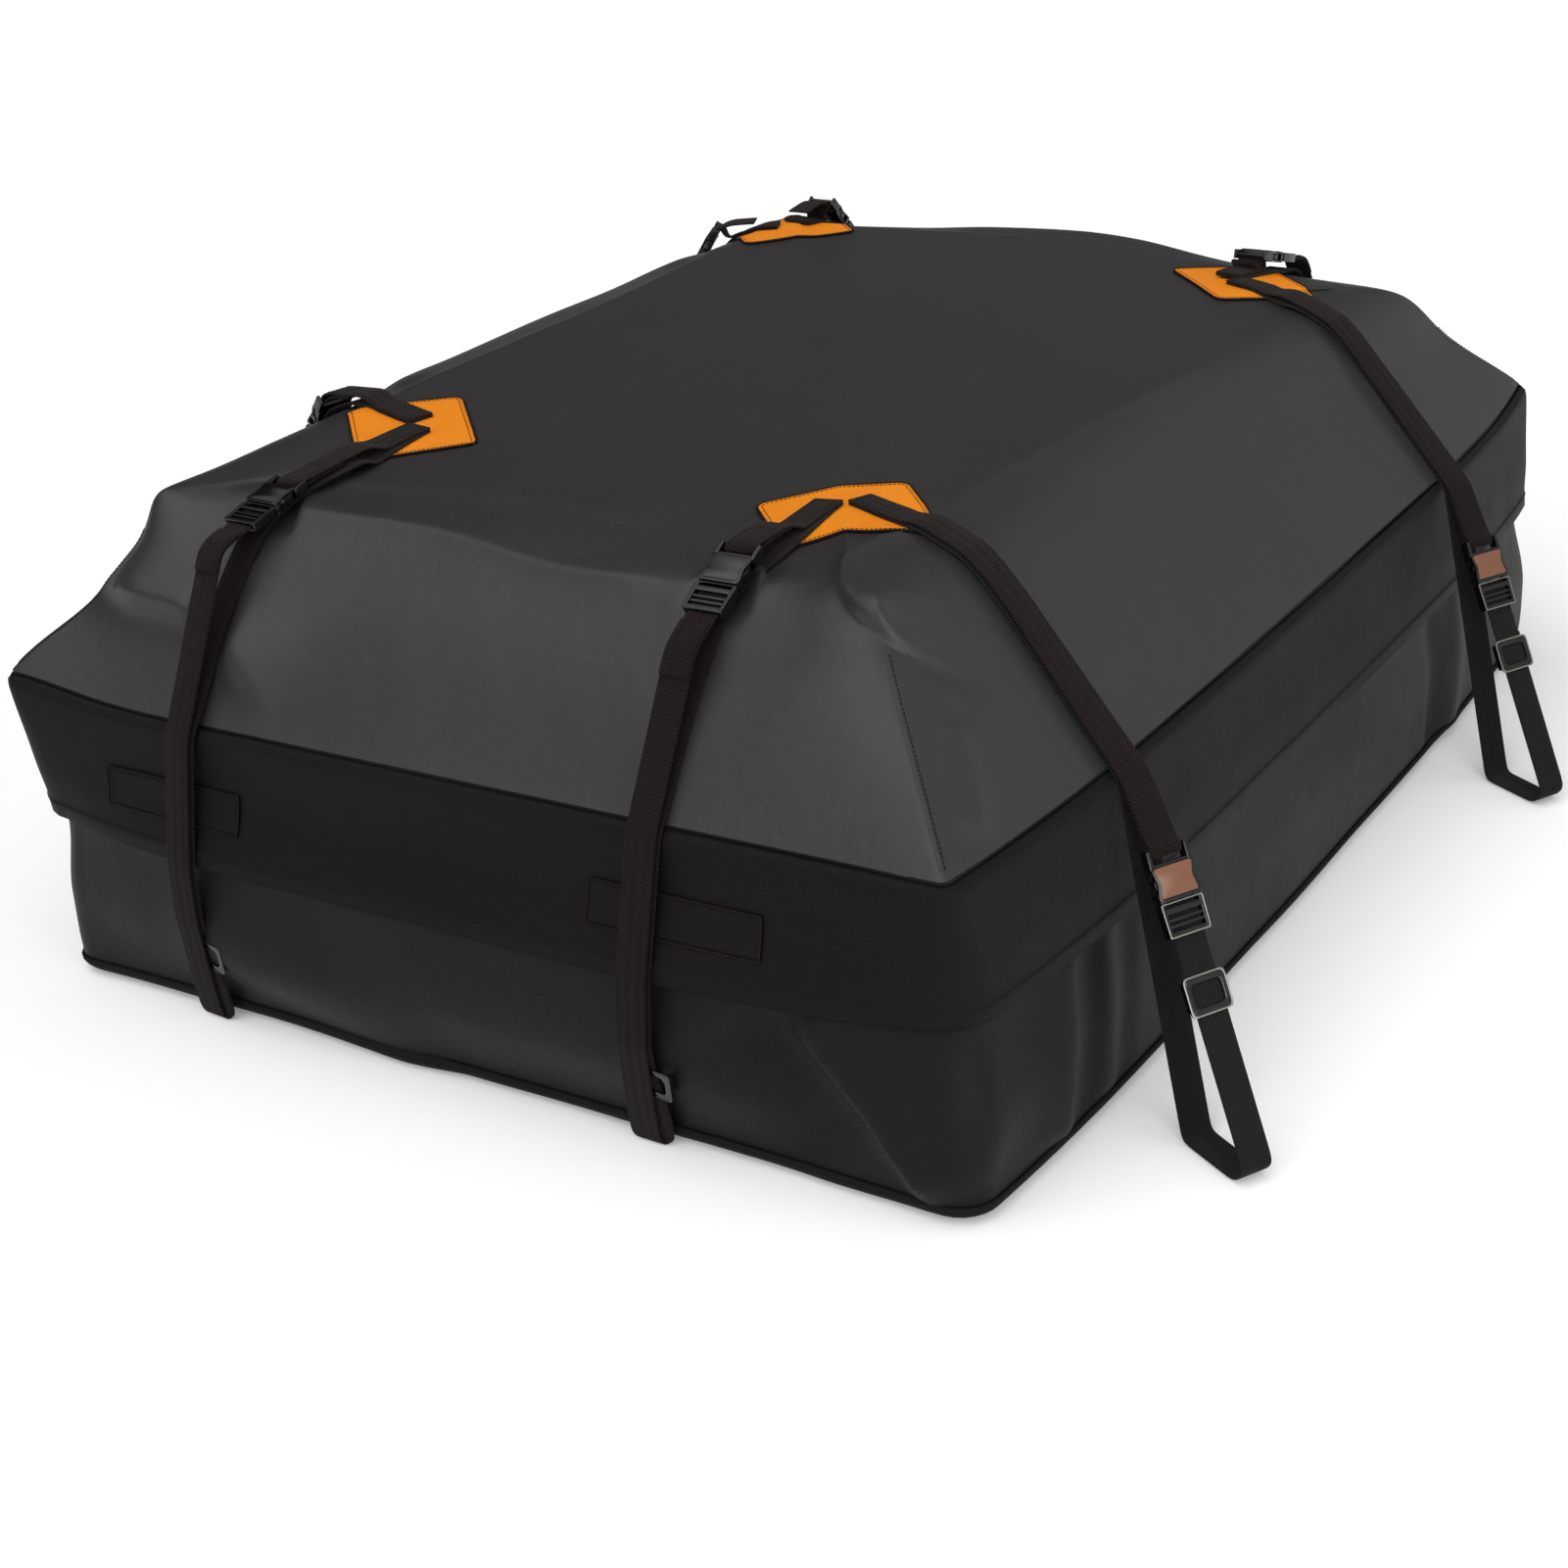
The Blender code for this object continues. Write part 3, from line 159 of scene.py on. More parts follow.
@dataclass(frozen=True)
class CoatedCloth:
    """PVC-coated polyester cloth, calendered smooth: a broad low sheen, with the weave just felt under it.

    The weave's threads are 0.5 mm apart, drawn coarser so that they show. The cloth crumples about every 45 mm, its
    colour drifts over 220 mm, and rubbing leaves it smoother in some places and rougher in others.
    """

    name: str
    shade: str
    deep: str
    roughness: float
    specular: float
    thread: float = 0.0016
    thread_depth: float = 0.00006
    crumple: float = 0.045
    crumple_depth: float = 0.0012
    cloud: float = 0.22
    polished: float = 0.06
    scuffed: float = 0.08

    def make(self) -> Material:
        """Builds the material.

        Returns:
            The material.
        """
        material, tree, shader = blank_material(self.name)
        place = add_node(tree, "ShaderNodeTexCoord").outputs["Object"]
        drift = {"Scale": 1 / self.cloud, "Detail": 3.0, "Roughness": 0.6}
        cloud = add_node(tree, "ShaderNodeTexNoise", drift, {"Vector": place})
        colours = {"data_type": "RGBA", 6: linear(self.deep), 7: linear(self.shade)}
        shade = add_node(tree, "ShaderNodeMix", colours, {0: cloud.outputs["Fac"]})
        tree.links.new(shade.outputs[2], shader.inputs["Base Color"])
        rub = add_node(tree, "ShaderNodeTexNoise", {"Scale": 1 / self.crumple / 2, "Detail": 5.0}, {"Vector": place})
        between = {"To Min": self.roughness - self.polished, "To Max": self.roughness + self.scuffed}
        gloss = add_node(tree, "ShaderNodeMapRange", between, {"Value": rub.outputs["Fac"]})
        tree.links.new(gloss.outputs["Result"], shader.inputs["Roughness"])
        shader.inputs["Specular IOR Level"].default_value = self.specular
        uv = add_node(tree, "ShaderNodeUVMap", {"uv_map": "cloth"})
        threads = {"operation": "SCALE", "Scale": math.tau / self.thread}
        turns = add_node(tree, "ShaderNodeVectorMath", threads, {0: uv.outputs["UV"]})
        parts = add_node(tree, "ShaderNodeSeparateXYZ", None, {"Vector": turns.outputs["Vector"]})
        warp = add_node(tree, "ShaderNodeMath", {"operation": "SINE"}, {0: parts.outputs["X"]})
        weft = add_node(tree, "ShaderNodeMath", {"operation": "SINE"}, {0: parts.outputs["Y"]})
        basket = add_node(tree, "ShaderNodeMath", {"operation": "MULTIPLY"}, {0: warp.outputs[0], 1: weft.outputs[0]})
        wrinkles = {"Scale": 1 / self.crumple, "Detail": 4.0, "Roughness": 0.55, "Distortion": 0.4}
        crumple = add_node(tree, "ShaderNodeTexNoise", wrinkles, {"Vector": place})
        relief = {"Strength": 1.0, "Distance": self.crumple_depth}
        soft = add_node(tree, "ShaderNodeBump", relief, {"Height": crumple.outputs["Fac"]})
        relief = {"Strength": 1.0, "Distance": self.thread_depth}
        over = {"Height": basket.outputs[0], "Normal": soft.outputs["Normal"]}
        fine = add_node(tree, "ShaderNodeBump", relief, over)
        tree.links.new(fine.outputs["Normal"], shader.inputs["Normal"])
        return material


@dataclass(frozen=True)
class WovenWebbing:
    """Polyester webbing, woven in a herringbone: matt, with rows of slanting ribs and a little fuzz.

    The ribs are 1.5 mm apart, drawn twice as coarse so that they show. The dark gap colour in the rib valleys is
    painted shade, and the fuzz varies the tone at random.
    """

    name: str
    thread: str
    gap: str
    rib: float = 0.0030
    row: float = 0.0042
    depth: float = 0.0004
    fuzz: float = 1 / 900

    def make(self) -> Material:
        """Builds the material.

        Returns:
            The material.
        """
        material, tree, shader = blank_material(self.name)
        uv = add_node(tree, "ShaderNodeUVMap", {"uv_map": "cloth"})
        parts = add_node(tree, "ShaderNodeSeparateXYZ", None, {"Vector": uv.outputs["UV"]})
        zigzag = add_node(tree, "ShaderNodeMath", {"operation": "PINGPONG", 1: self.row}, {0: parts.outputs["Y"]})
        slant = add_node(tree, "ShaderNodeMath", {"operation": "ADD"}, {0: parts.outputs["X"], 1: zigzag.outputs[0]})
        turns = {"operation": "MULTIPLY", 1: math.tau / self.rib}
        turn = add_node(tree, "ShaderNodeMath", turns, {0: slant.outputs[0]})
        rib = add_node(tree, "ShaderNodeMath", {"operation": "SINE"}, {0: turn.outputs[0]})
        height = add_node(tree, "ShaderNodeMapRange", {"From Min": -1.0, "From Max": 1.0}, {"Value": rib.outputs[0]})
        place = add_node(tree, "ShaderNodeTexCoord").outputs["Object"]
        fuzz = add_node(tree, "ShaderNodeTexNoise", {"Scale": 1 / self.fuzz, "Detail": 2.0}, {"Vector": place})
        # Painted shade: the rib valleys take the dark gap colour; the fuzz adds random tone
        both = {0: height.outputs[0], 1: fuzz.outputs["Fac"]}
        rib_shade_and_fuzz = add_node(tree, "ShaderNodeMath", {"operation": "MULTIPLY"}, both)
        colours = {"data_type": "RGBA", 6: linear(self.gap), 7: linear(self.thread)}
        shade = add_node(tree, "ShaderNodeMix", colours, {0: rib_shade_and_fuzz.outputs[0]})
        tree.links.new(shade.outputs[2], shader.inputs["Base Color"])
        shader.inputs["Roughness"].default_value = 0.85
        shader.inputs["Specular IOR Level"].default_value = 0.07
        shader.inputs["Sheen Weight"].default_value = 0.06
        relief = {"Strength": 1.0, "Distance": self.depth}
        bump = add_node(tree, "ShaderNodeBump", relief, {"Height": height.outputs[0]})
        tree.links.new(bump.outputs["Normal"], shader.inputs["Normal"])
        return material


@dataclass(frozen=True)
class MouldedAcetal:
    """Acetal, injection-moulded: a waxy gloss that a fine spark-eroded grain breaks up."""

    name: str
    shade: str
    roughness: float
    grain: float = 0.0012
    grain_depth: float = 0.0001
    smoother: float = 0.08
    rougher: float = 0.1

    def make(self) -> Material:
        """Builds the material.

        Returns:
            The material.
        """
        material, tree, shader = blank_material(self.name)
        place = add_node(tree, "ShaderNodeTexCoord").outputs["Object"]
        grain = add_node(tree, "ShaderNodeTexNoise", {"Scale": 1 / self.grain, "Detail": 2.0}, {"Vector": place})
        between = {"To Min": self.roughness - self.smoother, "To Max": self.roughness + self.rougher}
        gloss = add_node(tree, "ShaderNodeMapRange", between, {"Value": grain.outputs["Fac"]})
        tree.links.new(gloss.outputs["Result"], shader.inputs["Roughness"])
        shader.inputs["Base Color"].default_value = linear(self.shade)
        shader.inputs["Specular IOR Level"].default_value = 0.5
        relief = {"Strength": 0.4, "Distance": self.grain_depth}
        bump = add_node(tree, "ShaderNodeBump", relief, {"Height": grain.outputs["Fac"]})
        tree.links.new(bump.outputs["Normal"], shader.inputs["Normal"])
        return material


@dataclass(frozen=True)
class SpunThread:
    """Bonded polyester sewing thread, twisted: matt and a little fuzzy, in one dark colour."""

    name: str
    shade: str
    twist: float = 1 / 1500
    twist_depth: float = 0.0002

    def make(self) -> Material:
        """Builds the material.

        Returns:
            The material.
        """
        material, tree, shader = blank_material(self.name)
        place = add_node(tree, "ShaderNodeTexCoord").outputs["Object"]
        twist = add_node(tree, "ShaderNodeTexNoise", {"Scale": 1 / self.twist, "Detail": 1.0}, {"Vector": place})
        relief = {"Strength": 0.6, "Distance": self.twist_depth}
        bump = add_node(tree, "ShaderNodeBump", relief, {"Height": twist.outputs["Fac"]})
        tree.links.new(bump.outputs["Normal"], shader.inputs["Normal"])
        shader.inputs["Base Color"].default_value = linear(self.shade)
        shader.inputs["Roughness"].default_value = 0.7
        shader.inputs["Specular IOR Level"].default_value = 0.2
        return material


@dataclass(frozen=True)
class DieCastZinc:
    """Zinc, die-cast and plated with black nickel: soft reflections that small rubs break up; in a pale shade, a
    painted highlight on the low fittings' rims.
    """

    name: str
    shade: str
    rub: float = 1 / 400
    smoothest: float = 0.2
    roughest: float = 0.45

    def make(self) -> Material:
        """Builds the material.

        Returns:
            The material.
        """
        material, tree, shader = blank_material(self.name)
        place = add_node(tree, "ShaderNodeTexCoord").outputs["Object"]
        rub = add_node(tree, "ShaderNodeTexNoise", {"Scale": 1 / self.rub, "Detail": 4.0}, {"Vector": place})
        between = {"To Min": self.smoothest, "To Max": self.roughest}
        gloss = add_node(tree, "ShaderNodeMapRange", between, {"Value": rub.outputs["Fac"]})
        tree.links.new(gloss.outputs["Result"], shader.inputs["Roughness"])
        shader.inputs["Base Color"].default_value = linear(self.shade)
        shader.inputs["Metallic"].default_value = 1.0
        return material


@dataclass
class Wardrobe:
    """Every finish of the carrier, made once."""

    # PVC coating: satin on the top, and on the walls a duller copy painted darker, as painted shade
    coated: Material = field(default_factory=CoatedCloth("pvc_coated_cloth", "#2f2d2e", "#282627", 0.38, 0.40).make)
    lower: Material = field(
        default_factory=CoatedCloth("pvc_coated_cloth_painted_shade", "#1a1819", "#161515", 0.46, 0.11).make
    )
    # A thin PU coating: nearly black, with hardly a shine
    flap: Material = field(default_factory=CoatedCloth("pu_coated_flap_cloth", "#171514", "#131111", 0.55, 0.09).make)
    # Ribbed tape without a coating: quite matt
    binding: Material = field(
        default_factory=CoatedCloth("grosgrain_binding_tape", "#1d1a1b", "#141212", 0.75, 0.1, thread=0.0011).make
    )
    # Oxford cloth: a coarser weave that shows under a thin coating, and only small wrinkles
    patch: Material = field(
        default_factory=CoatedCloth(
            "orange_coated_oxford",
            "#f89616",
            "#ec8009",
            0.5,
            0.25,
            thread_depth=0.00012,
            crumple_depth=0.0004,
            cloud=0.05,
        ).make
    )
    # Webbing: brown-black herringbone, and a greyer one with finer, shallower ribs for the low pairs' long layers
    webbing: Material = field(default_factory=WovenWebbing("herringbone_webbing", "#342726", "#0d0909").make)
    plain_webbing: Material = field(
        default_factory=WovenWebbing("plain_webbing", "#302f2f", "#141313", rib=0.0022, row=0.0600, depth=0.0003).make
    )
    # Black buckles with a fresh gloss, and on the low buckles' faces a duller copper-brown that is a painted warm
    # reflection
    acetal: Material = field(default_factory=MouldedAcetal("moulded_acetal", "#0b0b0b", 0.18).make)
    copper_reflection_acetal: Material = field(default_factory=MouldedAcetal("copper_painted_reflection_face", "#7c523a", 0.30).make)
    # Sewing thread: black on black cloth, and a maroon that just shows as a thin edge
    dark_thread: Material = field(default_factory=SpunThread("bonded_thread_black", "#161213").make)
    maroon_thread: Material = field(default_factory=SpunThread("bonded_thread_maroon", "#180b0a").make)
    # Plated zinc, dark, on the zip; and a pale metal on the low fittings' rims, as a painted highlight along their
    # edges
    zinc: Material = field(default_factory=DieCastZinc("black_nickel_zinc", "#5a5a5c").make)
    pale_rim_highlight: Material = field(default_factory=DieCastZinc("pale_metal_rim_painted_highlight", "#96938b").make)


# Meshes from rows of points

# Edges sharper than these are shown sharp, on cloth and on mouldings
CLOTH_EDGE = math.radians(50)
MOULDED_EDGE = math.radians(35)
# A moulding's edges that turn more than this many radians are rounded off
RIM_TURN = 0.9


def smooth_table(keys: Array, rows: Array, at: Array) -> Array:
    """Values on smooth curves through rows of numbers, held flat beyond both ends and never past a row's turn.

    Args:
        keys: The rows' keys, rising.
        rows: One row of numbers, of any shape, for each key.
        at: Where to read the curves.

    Returns:
        One row for each place read.
    """
    keys, rows = np.asarray(keys, float), np.asarray(rows, float)
    at = np.clip(np.asarray(at, float), keys[0], keys[-1])
    flat = rows.reshape(len(keys), -1)
    secants = np.diff(flat, axis=0) / np.diff(keys)[:, None]
    before, after = np.vstack([secants[:1], secants]), np.vstack([secants, secants[-1:]])
    low, high = np.maximum(np.arange(len(keys)) - 1, 0), np.minimum(np.arange(len(keys)) + 1, len(keys) - 1)
    slopes = (flat[high] - flat[low]) / (keys[high] - keys[low])[:, None]
    most = 3 * np.minimum(abs(before), abs(after))
    slopes = np.where(before * after <= 0, 0, np.clip(slopes, -most, most))
    i = np.clip(np.searchsorted(keys, at, side="right") - 1, 0, len(keys) - 2)
    span = (keys[i + 1] - keys[i])[:, None]
    t = (at - keys[i])[:, None] / span
    values = (2 * t**3 - 3 * t**2 + 1) * flat[i] + (t**3 - 2 * t**2 + t) * slopes[i] * span
    values += (3 * t**2 - 2 * t**3) * flat[i + 1] + (t**3 - t**2) * slopes[i + 1] * span
    return values.reshape((len(at), *rows.shape[1:]))


def unit(vectors: Array) -> Array:
    """Vectors with a length of 1."""
    return vectors / np.maximum(np.linalg.norm(vectors, axis=-1, keepdims=True), 1e-12)


def smoothstep(values: Array) -> Array:
    """A soft step from 0 to 1."""
    t = np.clip(values, 0, 1)
    return t * t * (3 - 2 * t)


def distances(line: Array) -> Array:
    """How far along a line each of its points is."""
    return np.concatenate([[0], np.cumsum(np.linalg.norm(np.diff(line, axis=0), axis=1))])


def read_off(at: Array, keys: Array, rows: Array) -> Array:
    """Rows of three numbers, read at places between their keys."""
    return np.stack([np.interp(at, keys, rows[:, k]) for k in range(3)], axis=-1)


def flat_places(first: Array, second: Array) -> Array:
    """The cloth's flat place for each point of a grid, from one number for each row and one for each column."""
    return np.stack(np.broadcast_arrays(first, second), axis=-1)


def eased_round(values: Array, passes: int, axis: int = 0) -> Array:
    """Smooths values that run round the bag.

    Args:
        values: The values, closed on themselves.
        passes: How many passes it takes.
        axis: The axis that runs round.

    Returns:
        The smoothed values.
    """
    for _ in range(passes):
        values = values * 0.5 + (np.roll(values, 1, axis=axis) + np.roll(values, -1, axis=axis)) * 0.25
    return values


def ease_between_ends(values: Array) -> None:
    """Smooths rows of values by one pass, all but the first and the last row."""
    values[1:-1] = values[1:-1] * 0.5 + (values[:-2] + values[2:]) * 0.25


def grid_normals(grid: Array, wrap: bool) -> Array:
    """Outward directions at the points of a grid.

    Args:
        grid: Rows of points, each row running round and the rows running up.
        wrap: Whether each row closes on itself.

    Returns:
        One unit vector for each point.
    """
    if wrap:
        along = np.roll(grid, -1, axis=1) - np.roll(grid, 1, axis=1)
    else:
        along = np.gradient(grid, axis=1)
    return unit(np.cross(along, np.gradient(grid, axis=0)))


def grid_mesh(name: str, grid: Array, uv: Array, wrap: bool, cap: Array | None = None) -> Mesh:
    """A mesh from rows of points.

    Args:
        name: The mesh's name.
        grid: Rows of points.
        uv: The cloth's flat place in metres for each point.
        wrap: Whether each row closes on itself.
        cap: A point that closes the last row, if any.

    Returns:
        The mesh, smooth, with a UV map named cloth.
    """
    rows, columns = grid.shape[:2]
    steps = columns if wrap else columns - 1
    i, j = np.meshgrid(np.arange(rows - 1), np.arange(steps), indexing="ij")
    after = (j + 1) % columns
    quads = np.stack([i * columns + j, i * columns + after, (i + 1) * columns + after, (i + 1) * columns + j], axis=-1)
    points, faces = grid.reshape(-1, 3), quads.reshape(-1, 4).tolist()
    flat = uv.reshape(-1, 2)
    if cap is not None:
        last = (rows - 1) * columns
        faces += [[last + k, last + (k + 1) % columns, len(points)] for k in range(columns)]
        points = np.vstack([points, cap[None]])
        flat = np.vstack([flat, flat[last : last + columns].mean(0)[None]])
    made = bpy.data.meshes.new(name)
    made.from_pydata(points.tolist(), [], faces)
    layer = made.uv_layers.new(name="cloth")
    corners = np.zeros(len(made.loops), np.int32)
    made.loops.foreach_get("vertex_index", corners)
    layer.data.foreach_set("uv", flat[corners].astype(np.float32).ravel())
    made.polygons.foreach_set("use_smooth", [True] * len(made.polygons))
    made.update()
    made.set_sharp_from_angle(angle=CLOTH_EDGE)
    return made


def add_piece(name: str, mesh: Mesh, material: Material, body: str, slot: Slot, *nodes: str) -> Piece:
    """Adds a piece of the carrier to the scene and ties it to the frame.

    Args:
        name: The piece's name.
        mesh: Its mesh, in the frame's coordinates.
        material: Its finish.
        body: The CAD body it rides on.
        slot: The record's slot that its finish belongs to; not used.
        nodes: The CAD nodes that it stands for.

    Returns:
        The piece.
    """
    piece = bpy.data.objects.new(name, mesh)
    piece.data.materials.append(material)
    bpy.context.scene.collection.objects.link(piece)
    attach(piece, body)
    if nodes:
        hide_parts(*nodes)
    log.info("%s: %d faces on %s", name, len(mesh.polygons), body)
    return piece


def thicken(piece: Piece, thickness: float, offset: float) -> None:
    """Gives a sheet its thickness.

    Args:
        piece: The sheet.
        thickness: Its thickness.
        offset: 1 to grow it out of its faces, -1 into them.
    """
    solid = piece.modifiers.new("thickness", "SOLIDIFY")
    solid.thickness = thickness
    solid.offset = offset
    solid.use_even_offset = True


def rounded_outline(points: Outline, radius: float, steps: int = 3, most: float = 0.48) -> Array:
    """A closed outline with its corners rounded.

    Args:
        points: The corners.
        radius: How far from each corner the rounding starts.
        steps: How many stretches it has.
        most: The largest share of a side that it takes up.

    Returns:
        The outline's points.
    """
    corners = np.array(points, float)
    found = []
    for k, corner in enumerate(corners):
        before, after = corners[k - 1] - corner, corners[(k + 1) % len(corners)] - corner
        first = corner + unit(before) * min(radius, np.linalg.norm(before) * most)
        last = corner + unit(after) * min(radius, np.linalg.norm(after) * most)
        for t in np.linspace(0, 1, steps + 1):
            found.append(first * (1 - t) ** 2 + corner * 2 * t * (1 - t) + last * t * t)
    return np.array(found)


def mirrored(*half: tuple[float, float]) -> Outline:
    """A closed outline from its corners on one side of the x axis."""
    return [*half, *[(x, -y) for x, y in reversed(half)]]


@dataclass(frozen=True)
class Plate:
    """One flat part of a moulding: an outline with holes between two levels."""

    outline: Outline
    low: float
    high: float
    holes: tuple[Outline, ...] = ()
    corner: float = 0.0012

    def twin(self) -> "Plate":
        """The same plate on the other side of the x axis."""
        return Plate([(x, -y) for x, y in reversed(self.outline)], self.low, self.high, self.holes, self.corner)


def moulding(name: str, plates: list[Plate], edge: float = 0.0004) -> Mesh:
    """A moulded part made of flat plates with rounded edges.

    Args:
        name: The mesh's name.
        plates: Its plates.
        edge: The edges' radius.

    Returns:
        The mesh.
    """
    made, whole = bpy.data.meshes.new(name), bmesh.new()
    for plate in plates:
        part = bmesh.new()
        for loop in (plate.outline, *plate.holes):
            ring = [part.verts.new((x, y, plate.low)) for x, y in rounded_outline(loop, plate.corner)]
            for k, vertex in enumerate(ring):
                part.edges.new((vertex, ring[(k + 1) % len(ring)]))
        bmesh.ops.triangle_fill(part, use_beauty=True, edges=part.edges[:])
        grown = bmesh.ops.extrude_face_region(part, geom=part.faces[:])["geom"]
        upper = [item for item in grown if isinstance(item, bmesh.types.BMVert)]
        bmesh.ops.translate(part, vec=(0, 0, plate.high - plate.low), verts=upper)
        bmesh.ops.recalc_face_normals(part, faces=part.faces[:])
        rim = [e for e in part.edges if len(e.link_faces) == 2 and e.calc_face_angle(0) > RIM_TURN]
        bmesh.ops.bevel(part, geom=rim, offset=edge, segments=2, profile=0.5, affect="EDGES", clamp_overlap=True)
        part.to_mesh(made)
        part.free()
        whole.from_mesh(made)
    whole.to_mesh(made)
    whole.free()
    made.polygons.foreach_set("use_smooth", [True] * len(made.polygons))
    made.set_sharp_from_angle(angle=MOULDED_EDGE)
    return made


def tree_of(*pieces: Piece) -> list[BVHTree]:
    """Makes search trees of pieces.

    Args:
        pieces: The pieces, taken as they are shown.

    Returns:
        One tree for each.
    """
    bpy.context.view_layer.update()
    graph = bpy.context.evaluated_depsgraph_get()
    return [BVHTree.FromObject(piece, graph) for piece in pieces]


def outermost(trees: list[BVHTree], inside: Vector, direction: Vector) -> tuple[Vector, Vector] | None:
    """The outermost surface along a direction from a place in the bag.

    Args:
        trees: The surfaces.
        inside: A place within them.
        direction: The way out.

    Returns:
        The point and the surface's outward normal, or None where there is nothing.
    """
    far = inside + direction * 2
    found = [hit for hit in (tree.ray_cast(far, -direction, 2) for tree in trees) if hit[0] is not None]
    if not found:
        return None
    nearest = min(found, key=lambda hit: hit[3])
    normal = nearest[1] if nearest[1].dot(direction) > 0 else -nearest[1]
    return nearest[0], normal


# The bag's form, as the CAD part has it

# The level ways out of the front, the right side, the rear and the left side
OUT_AXES = np.array([(0.0, -1.0), (1.0, 0.0), (0.0, 1.0), (-1.0, 0.0)])
# A place low in the bag's middle, which every outer side faces away from
BAG_MIDDLE = np.array([0, 0, 0.1])


@dataclass(frozen=True)
class Shoulder:
    """The slope between seam and top: how far in and how high its low part, its bend and its crest are."""

    low_in: float
    low_height: float
    bend_in: float
    bend_height: float
    crest_in: float
    crest_height: float

    def knots(self) -> Outline:
        """The three points, each how far in and how high."""
        return [(self.low_in, self.low_height), (self.bend_in, self.bend_height), (self.crest_in, self.crest_height)]


@dataclass(frozen=True)
class StrapRun:
    """One strap pair: its level direction in degrees, and the height and place of the crest that it crosses."""

    angle: float
    top: float
    crest_in: float
    low_share: float = 0.33
    low_drop: float = 0.070
    bend_share: float = 0.65
    bend_drop: float = 0.022
    crest_drop: float = 0.008

    def shoulder(self) -> Shoulder:
        """The slope of the bag under the strap.

        Returns:
            The slope.
        """
        return Shoulder(
            self.crest_in * self.low_share,
            self.top - self.low_drop,
            self.crest_in * self.bend_share,
            self.top - self.bend_drop,
            self.crest_in,
            self.top - self.crest_drop,
        )


@dataclass(frozen=True)
class CornerForm:
    """One corner of the bag: its diagonal slope, where its straps start, its two strap runs and its patch's shift."""

    corner: Corner
    knee: Shoulder
    patch_at: tuple[float, float]
    end: StrapRun
    side: StrapRun
    patch_forward: float = 0.0


@dataclass(frozen=True)
class Columns:
    """Places round the bag: the side, how far along it, and for a corner's arc how far round it instead."""

    side: Array
    along: Array
    arc: Array

    @property
    def out_axis(self) -> Array:
        """The level way out of each column's side."""
        return OUT_AXES[self.side % 4]

    @property
    def on_arc(self) -> Array:
        """Which columns are on a corner's arc."""
        return ~np.isnan(self.arc)


